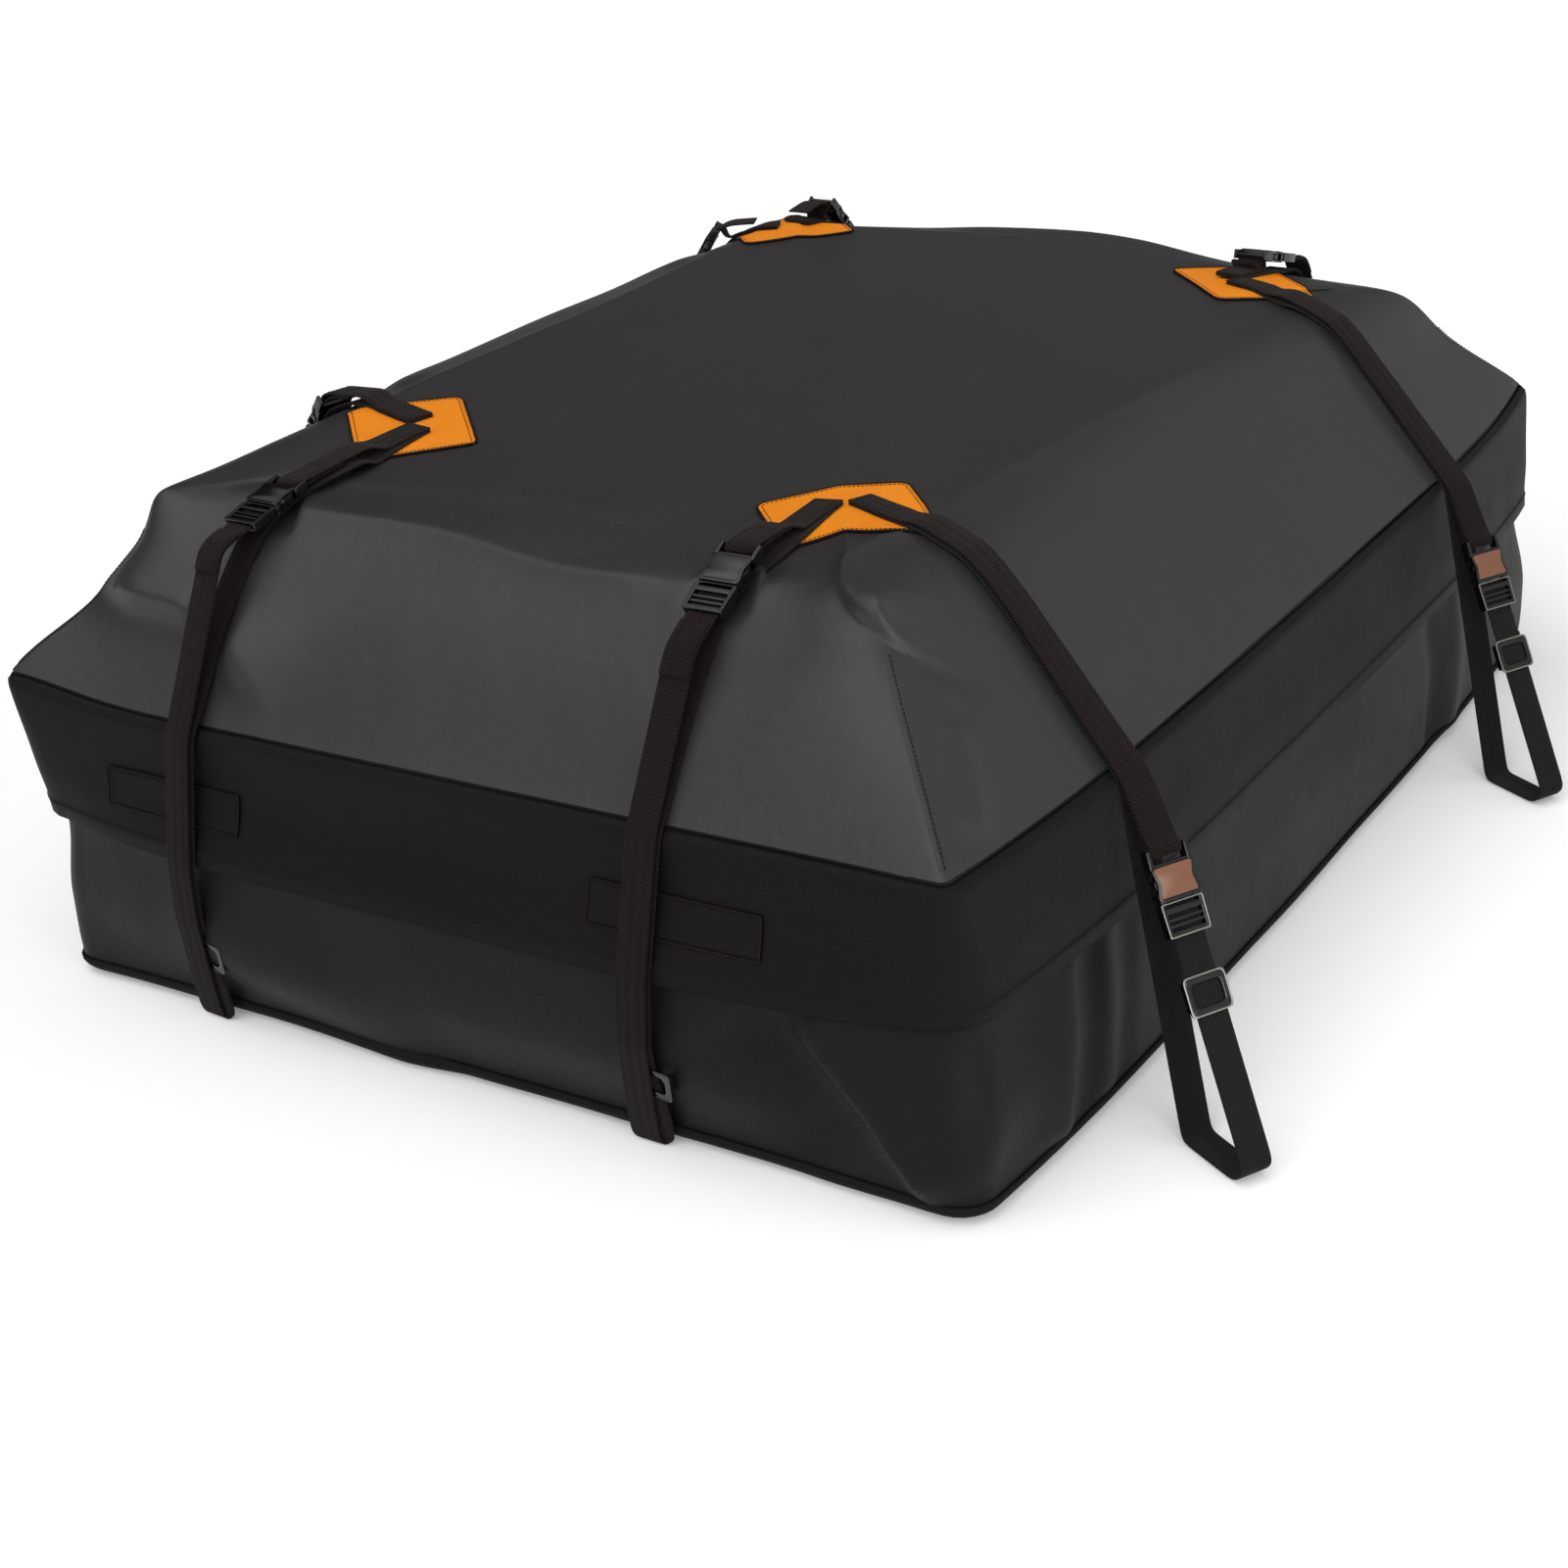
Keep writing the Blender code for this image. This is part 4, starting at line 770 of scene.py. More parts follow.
@dataclass(frozen=True)
class BagForm:
    """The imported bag's smooth outer form: a wall that swells, a seam, a shoulder that varies round it and a top.

    Each level of the wall has its height, how far in it is along X and Y, its corners' radius and its swell along both.
    """

    half_x: float = 0.432
    half_y: float = 0.560
    seam_height: float = 0.257
    seam_in_x: float = 0.014
    seam_in_y: float = 0.008
    top_height: float = 0.402
    corner_share: float = 0.985
    groove_top: float = 0.245
    groove_bottom: float = 0.206
    groove_depth: float = 0.006
    slope_keys: tuple[float, ...] = (0.0, 0.4, 0.7, 1.0)
    knot_passes: int = 20
    crest_passes: int = 500
    crest_fade: float = 0.28
    crown: float = 2.5
    levels: tuple[tuple[float, ...], ...] = (
        (0.000, 0.010, 0.014, 0.024, 0.010, -0.004),
        (0.012, 0.002, 0.006, 0.026, 0.012, -0.004),
        (0.070, 0.000, 0.004, 0.034, 0.013, 0.014),
        (0.140, 0.009, 0.010, 0.036, 0.018, 0.022),
        (0.200, 0.010, 0.009, 0.024, 0.018, 0.003),
        (0.257, 0.014, 0.008, 0.006, 0.020, 0.000),
    )
    middles: tuple[Shoulder, ...] = (
        Shoulder(0.068, 0.345, 0.125, 0.382, 0.190, 0.394),
        Shoulder(0.060, 0.328, 0.115, 0.376, 0.165, 0.392),
        Shoulder(0.035, 0.340, 0.065, 0.395, 0.120, 0.405),
        Shoulder(0.035, 0.345, 0.068, 0.397, 0.130, 0.412),
    )
    corners: tuple[CornerForm, ...] = (
        CornerForm(
            Corner.FRONT_LEFT,
            Shoulder(0.076, 0.352, 0.100, 0.398, 0.150, 0.398),
            (-0.213, -0.262),
            StrapRun(-94.0, 0.402, 0.170),
            StrapRun(166.0, 0.418, 0.130),
        ),
        CornerForm(
            Corner.FRONT_RIGHT,
            Shoulder(0.076, 0.352, 0.100, 0.398, 0.150, 0.398),
            (0.198, -0.295),
            StrapRun(-91.0, 0.400, 0.160),
            StrapRun(-12.0, 0.400, 0.165),
            patch_forward=0.006,
        ),
        CornerForm(
            Corner.REAR_RIGHT,
            Shoulder(0.050, 0.312, 0.083, 0.360, 0.125, 0.377),
            (0.200, 0.374),
            StrapRun(84.0, 0.390, 0.110),
            StrapRun(-20.0, 0.390, 0.155),
        ),
        CornerForm(
            Corner.REAR_LEFT,
            Shoulder(0.050, 0.332, 0.075, 0.390, 0.105, 0.402),
            (-0.305, 0.421),
            StrapRun(84.0, 0.405, 0.095),
            StrapRun(205.0, 0.408, 0.090),
            patch_forward=-0.020,
        ),
    )

    def columns(self, end_count: int, side_count: int, arc_count: int) -> Columns:
        """Spreads columns round the bag, closer together near its corners.

        Args:
            end_count: How many on each short end.
            side_count: How many on each long side.
            arc_count: How many on each corner's arc.

        Returns:
            The columns, anticlockwise seen from above, from the front left corner.
        """
        side, along, arc = [], [], []
        for number in range(4):
            count = end_count if number % 2 == 0 else side_count
            even = np.linspace(-1, 1, count)
            side += [number] * (arc_count + count)
            along += [0.0] * arc_count + list(0.5 * even + 0.5 * np.sin(math.pi / 2 * even))
            arc += [(step + 1) / (arc_count + 1) for step in range(arc_count)] + [math.nan] * count
        return Columns(np.array(side), np.array(along), np.array(arc))

    def wall(self, columns: Columns, heights: Array, outs: Array) -> Array:
        """Points of the wall.

        Args:
            columns: Where round the bag.
            heights: One height for each row.
            outs: How far each row, or each point, stands off the wall.

        Returns:
            Rows of points.
        """
        levels = np.array(self.levels)
        in_x, in_y, radius, swell_x, swell_y = smooth_table(levels[:, 0], levels[:, 1:], heights).T[:, :, None]
        outs = np.broadcast_to(np.asarray(outs, float).reshape(len(heights), -1), (len(heights), len(columns.side)))
        half_x, half_y = self.half_x - in_x, self.half_y - in_y
        ends = columns.side % 2 == 0
        half_along, half_out = np.where(ends, half_x, half_y), np.where(ends, half_y, half_x)
        swell = np.where(ends, swell_y, swell_x)
        out_axis = columns.out_axis
        along_axis = np.stack([-out_axis[:, 1], out_axis[:, 0]], axis=-1)
        distance = half_out + swell * (1 - columns.along**4) + outs
        level = along_axis * (columns.along * (half_along - radius))[..., None] + out_axis * distance[..., None]
        before = np.stack([out_axis[:, 1], -out_axis[:, 0]], axis=-1)
        turn = np.nan_to_num(columns.arc)[:, None] * math.pi / 2
        round_axis = before * np.cos(turn) + out_axis * np.sin(turn)
        centre = (before + out_axis) * np.concatenate([half_x - radius, half_y - radius], axis=1)[:, None, :]
        arc = centre + round_axis * (radius + outs)[..., None]
        level = np.where(columns.on_arc[:, None], arc, level)
        z = np.broadcast_to(np.asarray(heights)[:, None, None], (*level.shape[:2], 1))
        return np.concatenate([level, z], axis=-1)

    def places(self, columns: Columns) -> Array:
        """How far round the bag columns are, counted in sides.

        Args:
            columns: The columns.

        Returns:
            One number for each.
        """
        near_corner = (np.nan_to_num(columns.arc) - 0.5) * (1 - self.corner_share)
        on_side = (columns.along * self.corner_share + 1) / 2
        return columns.side + np.where(columns.on_arc, near_corner, on_side)

    def shoulder_knots(self) -> tuple[Array, Array]:
        """The slope's low, bend and crest points at each corner, under each strap and mid side.

        Returns:
            How far round each set of points is, and the points, nine numbers to a row.
        """
        seam_x, seam_y = self.half_x - self.seam_in_x, self.half_y - self.seam_in_y
        knots: list[tuple[float, list[float]]] = []
        for side, middle in enumerate(self.middles):
            half = seam_y if side % 2 == 0 else seam_x
            row = [v for inward, z in middle.knots() for v in (*(OUT_AXES[side] * (half - inward)), z)]
            knots.append((side + 0.5, row))
        for place, form in enumerate(self.corners):
            sx, sy = form.corner.sign_x, form.corner.sign_y
            row = [v for inward, z in form.knee.knots() for v in (sx * (seam_x - inward), sy * (seam_y - inward), z)]
            knots.append((float(place), row))
            for run, side, half in ((form.end, 0 if sy < 0 else 2, seam_y), (form.side, 1 if sx > 0 else 3, seam_x)):
                start, angle = np.array(form.patch_at), math.radians(run.angle)
                way = np.array([math.cos(angle), math.sin(angle)])

                def at(distance: float, side: int = side, start: Array = start, way: Array = way) -> Array:
                    """The point of the strap's line at a distance out from the bag's middle."""
                    return start + way * ((distance - start @ OUT_AXES[side]) / (way @ OUT_AXES[side]))

                row = [v for inward, z in run.shoulder().knots() for v in (*at(half - inward), z)]
                along = np.array([-OUT_AXES[side][1], OUT_AXES[side][0]])
                share = (at(half) @ along) / (seam_x if side % 2 == 0 else seam_y)
                knots.append((side + (share + 1) / 2, row))
        knots.sort()
        whole = [(u - 4, k) for u, k in knots[-2:]] + knots + [(u + 4, k) for u, k in knots[:2]]
        return np.array([u for u, _ in whole]), np.array([k for _, k in whole])

    def top(self, columns: Columns, ways: Array) -> Array:
        """Points of the top: ways run from 0 at the seam over 1 at the crest to 2 at the middle.

        Args:
            columns: Where round the bag.
            ways: How far in each row is.

        Returns:
            Rows of points.
        """
        keys, rows = self.shoulder_knots()
        values = eased_round(smooth_table(keys, rows, self.places(columns)), self.knot_passes)
        seam = self.wall(columns, np.array([self.seam_height]), np.zeros(1))[0]
        crest = values[:, 6:9]
        profile = np.stack([seam, values[:, 0:3], values[:, 3:6], crest])
        slope = smooth_table(np.array(self.slope_keys), profile, np.minimum(ways, 1.0))
        inward = np.clip(ways - 1, 0, 1)[:, None]
        eased = eased_round(crest, self.crest_passes)
        ease = smoothstep(inward / self.crest_fade)[..., None]
        rim = crest * (1 - ease) + eased * ease
        rise = (self.top_height - rim[..., 2]) * (1 - (1 - inward) ** self.crown)
        over = np.stack([rim[..., 0] * (1 - inward), rim[..., 1] * (1 - inward), rim[..., 2] + rise], axis=-1)
        return np.where((ways > 1)[:, None, None], over, slope)


# Folds of the cloth

Line = tuple[tuple[float, float, float], ...]

# The front's crest, from strap to strap and on to the pouch
FRONT_CREST: Line = (
    (-0.300, -0.420, 0.387), (-0.222, -0.431, 0.383), (-0.089, -0.427, 0.382),
    (0.077, -0.444, 0.376), (0.160, -0.443, 0.379), (0.270, -0.430, 0.393),
)
# The right side's crest
RIGHT_CREST: Line = (
    (0.268, -0.299, 0.389), (0.267, -0.218, 0.389), (0.274, -0.107, 0.388),
    (0.280, 0.003, 0.385), (0.289, 0.147, 0.380), (0.302, 0.314, 0.374),
)
# The pouch under the front right strap
POUCH_RIM: Line = (
    (0.300, -0.322, 0.386), (0.275, -0.335, 0.390), (0.265, -0.360, 0.393),
    (0.267, -0.395, 0.396), (0.283, -0.432, 0.393), (0.310, -0.458, 0.387),
    (0.335, -0.460, 0.374),
)
# The bend that runs down to the seam, and below which the front left corner stands up
LEFT_BEND: Line = (
    (-0.380, -0.486, 0.324), (-0.330, -0.499, 0.328), (-0.258, -0.503, 0.325),
    (-0.222, -0.509, 0.316), (-0.188, -0.527, 0.292), (-0.155, -0.545, 0.267),
)
# The groove that runs round the pouch and down to the seam
POUCH_GROOVE: Line = (
    (0.276, -0.436, 0.394), (0.292, -0.452, 0.391), (0.318, -0.468, 0.384),
    (0.338, -0.462, 0.372), (0.356, -0.437, 0.350), (0.380, -0.403, 0.321),
)
# The long fold that runs down to the front right foot
FOOT_FOLD: Line = (
    (0.293, -0.568, 0.150), (0.306, -0.564, 0.134), (0.336, -0.562, 0.101),
    (0.374, -0.557, 0.052), (0.403, -0.548, 0.004),
)
# The lower front, where it sags forward near its left foot
LOW_SAG: Line = ((-0.300, -0.565, 0.105), (-0.210, -0.568, 0.070), (-0.100, -0.560, 0.035), (0.000, -0.552, 0.010))


@dataclass(frozen=True)
class Fold:
    """A ridge in the cloth along a line on the bag, or with a negative height a valley.

    It falls away over one width to the left of the line, seen from outside, and over another to its right.
    A crease above 2 makes its crown flat and one near 1 makes it sharp.
    """

    line: Line
    height: float
    left: float
    right: float
    crease: float = 2.0
    fade: float = 0.25

    def lift(self, points: Array, normals: Array) -> Array:
        """How far out each point moves.

        Args:
            points: The points.
            normals: The way out at each.

        Returns:
            One distance for each point.
        """
        knots = np.array(self.line)
        keys = distances(knots)
        path = smooth_table(keys, knots, np.linspace(0, keys[-1], 6 * len(knots)))
        reach = 3 * max(self.left, self.right)
        near = np.all((points > path.min(0) - reach) & (points < path.max(0) + reach), axis=-1)
        lifts = np.zeros(len(points))
        if not near.any():
            return lifts
        p, n = points[near], normals[near]
        best, side, share = np.full(len(p), np.inf), np.zeros(len(p)), np.zeros(len(p))
        for k in range(len(path) - 1):
            step = path[k + 1] - path[k]
            t = np.clip((p - path[k]) @ step / (step @ step), 0, 1)
            gap = p - path[k] - t[:, None] * step
            distance = np.linalg.norm(gap, axis=1)
            closer = distance < best
            best = np.where(closer, distance, best)
            side = np.where(closer, np.einsum("ij,ij->i", np.cross(step, gap), n), side)
            share = np.where(closer, (k + t) / (len(path) - 1), share)
        width = np.where(side > 0, self.left, self.right)
        ends = smoothstep(share / self.fade) * smoothstep((1 - share) / self.fade) if self.fade > 0 else 1.0
        lifts[near] = self.height * np.exp(-((best / width) ** self.crease)) * ends
        return lifts


@dataclass(frozen=True)
class Pull:
    """A place where the cloth is drawn out or in as a whole, dying out over a radius."""

    at: tuple[float, float, float]
    by: tuple[float, float, float]
    radius: float

    def shift(self, points: Array) -> Array:
        """How each point moves."""
        distance = np.linalg.norm(points - np.array(self.at), axis=-1)
        return np.exp(-((distance / self.radius) ** 2))[..., None] * np.array(self.by)


@dataclass(frozen=True)
class ClothHang:
    """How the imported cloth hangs: its folds, the places where it is drawn out, and a slight unevenness."""

    folds: tuple[Fold, ...] = (
        # The front's crest, its crisp edge, and that of the right side's crest
        Fold(FRONT_CREST, 0.0060, 0.030, 0.024, crease=1.25, fade=0.12),
        Fold(FRONT_CREST[:5], 0.0034, 0.014, 0.011, crease=1.2, fade=0.12),
        Fold(RIGHT_CREST[:5], 0.0030, 0.012, 0.012, crease=1.2, fade=0.12),
        Fold(LEFT_BEND, 0.0155, 0.050, 0.016, crease=1.3, fade=0.30),
        # The pouch under the front right strap, the sharp fall on its outer side and the groove below it
        Fold(POUCH_RIM, 0.0042, 0.040, 0.016, crease=1.5, fade=0.20),
        Fold(POUCH_GROOVE, -0.0055, 0.005, 0.014, crease=1.4, fade=0.22),
        # The pouch's crisp rim
        Fold(POUCH_RIM[:6], 0.0036, 0.007, 0.005, crease=1.5, fade=0.15),
        # The lighter band on the right of the front right corner's seam
        Fold(((0.372, -0.455, 0.330), (0.398, -0.481, 0.291), (0.415, -0.512, 0.262)), 0.0045, 0.016, 0.020, fade=0.2),
        Fold(RIGHT_CREST, 0.0035, 0.040, 0.034, crease=1.5),
        # The long fold that runs down to the front right foot, with the hollow beside it
        Fold(FOOT_FOLD, 0.0130, 0.050, 0.010, crease=1.3, fade=0.20),
        Fold(((0.262, -0.572, 0.150), (0.302, -0.566, 0.100), (0.352, -0.560, 0.035)), -0.0110, 0.026, 0.048),
        # Upright folds of the right wall near its front corner
        Fold(((0.434, -0.420, 0.150), (0.438, -0.434, 0.085), (0.438, -0.450, 0.010)), 0.0050, 0.012, 0.030, fade=0.1),
        Fold(((0.437, -0.388, 0.150), (0.440, -0.405, 0.074), (0.438, -0.413, 0.012)), -0.0036, 0.012, 0.014, fade=0.1),
        Fold(((0.440, -0.367, 0.150), (0.440, -0.378, 0.074), (0.438, -0.383, 0.012)), 0.0028, 0.016, 0.016, fade=0.1),
        Fold(((0.440, -0.336, 0.150), (0.442, -0.353, 0.074), (0.438, -0.357, 0.012)), -0.0033, 0.012, 0.016, fade=0.1),
        # Folds at the rear right corner
        Fold(((0.444, 0.262, 0.150), (0.444, 0.270, 0.068), (0.443, 0.266, 0.006)), -0.0060, 0.018, 0.014, fade=0.1),
        Fold(((0.444, 0.325, 0.150), (0.444, 0.320, 0.068), (0.443, 0.310, 0.006)), 0.0050, 0.022, 0.020, fade=0.1),
        Fold(LOW_SAG, 0.0070, 0.045, 0.035),
        # The left side, which the photograph doesn't show: two shallow drags from its straps
        Fold(((-0.300, -0.200, 0.404), (-0.345, -0.120, 0.380), (-0.380, -0.020, 0.330)), 0.0035, 0.030, 0.025),
        Fold(((-0.330, 0.330, 0.398), (-0.360, 0.230, 0.375), (-0.385, 0.120, 0.335)), 0.0035, 0.030, 0.025),
        Fold(
            ((-0.445, -0.100, 0.150), (-0.446, -0.085, 0.075), (-0.443, -0.090, 0.010)),
            -0.0045,
            0.020,
            0.014,
            fade=0.1,
        ),
        Fold(((-0.445, 0.230, 0.150), (-0.446, 0.245, 0.075), (-0.443, 0.240, 0.010)), -0.0045, 0.014, 0.020, fade=0.1),
        # The rear end: a slack bend between its straps
        Fold(((-0.180, 0.500, 0.385), (0.000, 0.492, 0.388), (0.140, 0.500, 0.372)), 0.0040, 0.030, 0.030, crease=1.5),
        Fold(((-0.060, 0.575, 0.150), (-0.045, 0.572, 0.075), (-0.050, 0.560, 0.010)), -0.0040, 0.018, 0.014, fade=0.1),
    )
    pulls: tuple[Pull, ...] = (
        Pull((-0.418, -0.552, 0.262), (-0.006, -0.004, 0.015), 0.075),
        Pull((0.418, 0.552, 0.090), (0.006, 0.004, 0.000), 0.110),
        Pull((0.418, 0.552, 0.257), (0.002, 0.000, 0.006), 0.070),
    )
    uneven_height: float = 0.0016
    uneven_size: float = 0.13

    def move(self, points: Array, normals: Array) -> Array:
        """Moves points of the smooth form to where the cloth lies.

        Args:
            points: The points.
            normals: The way out at each.

        Returns:
            The moved points.
        """
        lifts = sum(fold.lift(points, normals) for fold in self.folds)
        lifts += self.uneven_height * np.array([noise.noise(Vector(p) / self.uneven_size) for p in points])
        moved = points + normals * lifts[:, None]
        for pull in self.pulls:
            moved = moved + pull.shift(points)
        return moved


# Straps

# The step that a route is followed at where nothing finer is needed
ROUTE_STEP = 0.004
# The gap that keeps one layer from cutting into the next
LAYER_GAP = 0.0003
# A strap's long edges are sharper than this many radians
CREASE_TURN = 0.8
# From one station to the next, an edge shifts less than this across the strap, and the opposite edge is further off
MOST_ASIDE = 0.019


@dataclass
class StrapRoute:
    """The line that a strap's CAD solid follows, with its width's direction and its outer side at each place."""

    centres: Array
    across: Array
    normals: Array
    width: float
    thickness: float

    @classmethod
    def of_node(cls, node: str, start: Vector) -> "StrapRoute":
        """Reads a flat strap's route from its solid, whose stations each have four corners.

        Args:
            node: The CAD node.
            start: A point near the end that the route starts at.

        Returns:
            The route.
        """
        work = bmesh.new()
        work.from_mesh(frame["nodes"][node].data)
        bmesh.ops.remove_doubles(work, verts=work.verts, dist=1e-5)
        creases = {v: [e.other_vert(v) for e in v.link_edges if e.calc_face_angle(0) > CREASE_TURN] for v in work.verts}
        ends = sorted((v for v in work.verts if len(creases[v]) > 2), key=lambda v: (v.co - start).length)[:4]
        corners = np.array([[list(v.co) for v in four] for four in cls.stations(ends, creases, len(work.verts) // 4)])
        work.free()
        centres = corners.mean(1)
        across = np.array([np.linalg.svd(four - four.mean(0))[2][0] for four in corners])
        for i in range(1, len(across)):
            if across[i] @ across[i - 1] < 0:
                across[i] = -across[i]
        tangents = unit(np.gradient(centres, axis=0))
        normals = unit(np.cross(tangents, across))
        if normals[0][2] < 0:
            across, normals = -across, -normals
        spread = abs(np.einsum("ijk,ik->ij", corners - centres[:, None], across)).mean()
        depth = abs(np.einsum("ijk,ik->ij", corners - centres[:, None], normals)).min(1).mean()
        return cls(centres, across, normals, 2 * spread, 2 * depth)

    @staticmethod
    def stations(ends: list, creases: dict, count: int) -> list[list]:
        """Follows the four sharp edges of a flat strap along its length, side by side.

        Args:
            ends: The four corners that they start at.
            creases: The neighbours of each vertex over sharp edges.
            count: How many stations the strap has.

        Returns:
            The four vertices of each station.
        """
        wide = max((a.co - b.co for a in ends for b in ends), key=lambda gap: gap.length).normalized()
        ends = sorted(ends, key=lambda v: v.co.dot(wide))
        found, seen = [ends], set(ends)
        while len(found) < count:
            here, following = found[-1], []
            wide = (here[2].co + here[3].co - here[0].co - here[1].co).normalized()
            for k, vertex in enumerate(here):
                ahead = [v for v in creases[vertex] if v not in seen and abs((v.co - vertex.co).dot(wide)) < MOST_ASIDE]
                way = vertex.co - found[-2][k].co if len(found) > 1 else Vector()
                following.append(max(ahead, key=lambda v: (v.co - vertex.co).normalized().dot(way)))
                seen.add(following[-1])
            found.append(following)
        return found

    def finer(self, step: float) -> "StrapRoute":
        """The same route with a station at each step, its bends eased.

        The width keeps its own direction where the strap shifts aside as it turns back, so its edges stay level there.

        Args:
            step: The most that two stations are apart.

        Returns:
            The route.
        """
        lengths = self.lengths
        counts = np.maximum(1, np.ceil(np.diff(lengths) / step).astype(int))
        pieces = [np.linspace(a, b, n, endpoint=False) for a, b, n in zip(lengths, lengths[1:], counts)]
        at = np.concatenate([*pieces, lengths[-1:]])
        centres, across = read_off(at, lengths, self.centres), read_off(at, lengths, self.across)
        for _ in range(max(1, round(2 * (ROUTE_STEP / step) ** 2))):
            ease_between_ends(centres)
            ease_between_ends(across)
        return self.along(centres, across)

    def along(self, centres: Array, across: Array) -> "StrapRoute":
        """A strap of the same size on another line.

        Args:
            centres: The points of its line.
            across: The direction of its width at each.

        Returns:
            The route.
        """
        across = unit(across)
        normals = unit(np.cross(np.gradient(centres, axis=0), across))
        return StrapRoute(centres, across, normals, self.width, self.thickness)

    def laid(self, trees: list[BVHTree], under: float, hold: float, fade: float) -> "StrapRoute":
        """The same route with its sewn end lying on what is under it.

        Args:
            trees: The surfaces under it.
            under: How thick the layers between them and it are.
            hold: How far along it lies on them.
            fade: Over how much more it comes back to its own place.

        Returns:
            The route.
        """
        near_edge, below = 0.42, 0.05
        fine = self.finer(ROUTE_STEP)
        lengths, centres, across = fine.lengths, fine.centres.copy(), fine.across.copy()
        for k in np.nonzero(lengths < hold + fade)[0]:
            up, wide = fine.normals[k], fine.across[k] * self.width * near_edge
            hits = [outermost(trees, Vector(fine.centres[k] + wide * s - up * below), Vector(up)) for s in (-1, 0, 1)]
            if None in hits:
                continue
            left, middle, right = (np.array(hit[0]) for hit in hits)
            between = (left + right) / 2
            proud = max(0.0, float((middle - between) @ up))
            place = between + up * (proud + under + self.thickness / 2 + LAYER_GAP)
            share = float(1 - smoothstep((lengths[k] - hold) / fade))
            centres[k] += (place - centres[k]) * share
            across[k] = unit(across[k] * (1 - share) + unit(right - left) * share)
        return self.along(centres, across)

    def gathered(self, most: float) -> "StrapRoute":
        """The same route with its inner run moved sideways, so that it lies under the outer one.

        Args:
            most: How far the inner run may move.

        Returns:
            The route.
        """
        turn_stations, sewn, sewn_fade, foot_length, foot_fade = 8, 0.080, 0.060, 0.020, 0.080
        fine = self.finer(ROUTE_STEP)
        lengths, foot = fine.lengths, int(fine.centres[:, 2].argmin())
        outer = fine.centres[foot + turn_stations :]
        shares = smoothstep((lengths - sewn) / sewn_fade)
        shares = shares * smoothstep((lengths[foot] - lengths - foot_length) / foot_fade)
        for k in np.nonzero((shares > 0) & (np.arange(len(lengths)) < foot))[0]:
            beside = outer[np.linalg.norm(outer - fine.centres[k], axis=1).argmin()] - fine.centres[k]
            fine.centres[k] += fine.across[k] * float(np.clip(beside @ fine.across[k], -most, most)) * shares[k]
        return fine

    def facing_out(self, least: float = 0.25) -> Array:
        """Which stations have their outer side away from the bag, by at least this cosine."""
        return np.einsum("ij,ij->i", self.normals, unit(self.centres - BAG_MIDDLE)) > least

    @property
    def lengths(self) -> Array:
        """How far along the route each station is."""
        return distances(self.centres)


@dataclass
class Webbing:
    """One flat strap: woven, with rounded selvedges and heat-cut ends."""

    name: str
    route: StrapRoute
    step: float = 0.002
    edge: float = 0.0010

    def mesh(self) -> Mesh:
        """Builds the strap.

        Returns:
            The mesh.
        """
        fine = self.route.finer(self.step)
        half, thick, bevel = self.route.width / 2, self.route.thickness / 2, self.edge * 0.35
        ys = np.array([-half, bevel - half, self.edge - half, -half * 0.4, half * 0.4, half - self.edge, half - bevel])
        zs = np.array([0.0, 0.75, 1.0, 1.0, 1.0, 1.0, 0.75]) * thick
        section_y, section_z = np.concatenate([ys, -ys]), np.concatenate([zs, -zs])
        aside, up = section_y[:, None] * fine.across[:, None], section_z[:, None] * fine.normals[:, None]
        rings = fine.centres[:, None] + aside + up
        uv = flat_places(fine.lengths[:, None], section_y[None])
        first, last = rings[:1].mean(1, keepdims=True), rings[-1:].mean(1, keepdims=True)
        ends = [np.repeat(first, rings.shape[1], axis=1), rings, np.repeat(last, rings.shape[1], axis=1)]
        flat = np.concatenate([uv[:1], uv, uv[-1:]])
        return grid_mesh(self.name, np.concatenate(ends), flat, wrap=True)


def fitting_place(node: str, joint: str, start: float) -> Matrix:
    """Where a fitting's CAD solid is: its x axis down the strap, y across it and z out of the bag.

    Args:
        node: The CAD node.
        joint: The joint that it slides on, which gives the x axis.
        start: The fitting's lowest x in its own coordinates.

    Returns:
        The place.
    """
    x_axis = unit(np.array(next(j["axis"] for j in frame["joints"] if j["name"] == joint), float))
    points = np.array([list(v.co) for v in frame["nodes"][node].data.vertices])
    flat = points - points.mean(0)
    flat = flat - (flat @ x_axis)[:, None] * x_axis
    y_axis = np.linalg.svd(flat, full_matrices=False)[2][0]
    z_axis = np.cross(x_axis, y_axis)
    if z_axis @ (points.mean(0) - BAG_MIDDLE) < 0:
        y_axis, z_axis = -y_axis, -z_axis
    axes = np.stack([x_axis, y_axis, z_axis])
    spans = points @ axes.T
    local = (spans.min(0) + spans.max(0)) / 2
    local[0] = spans[:, 0].min() - start
    place = Matrix(axes.T.tolist()).to_4x4()
    place.translation = Vector(local @ axes)
    return place


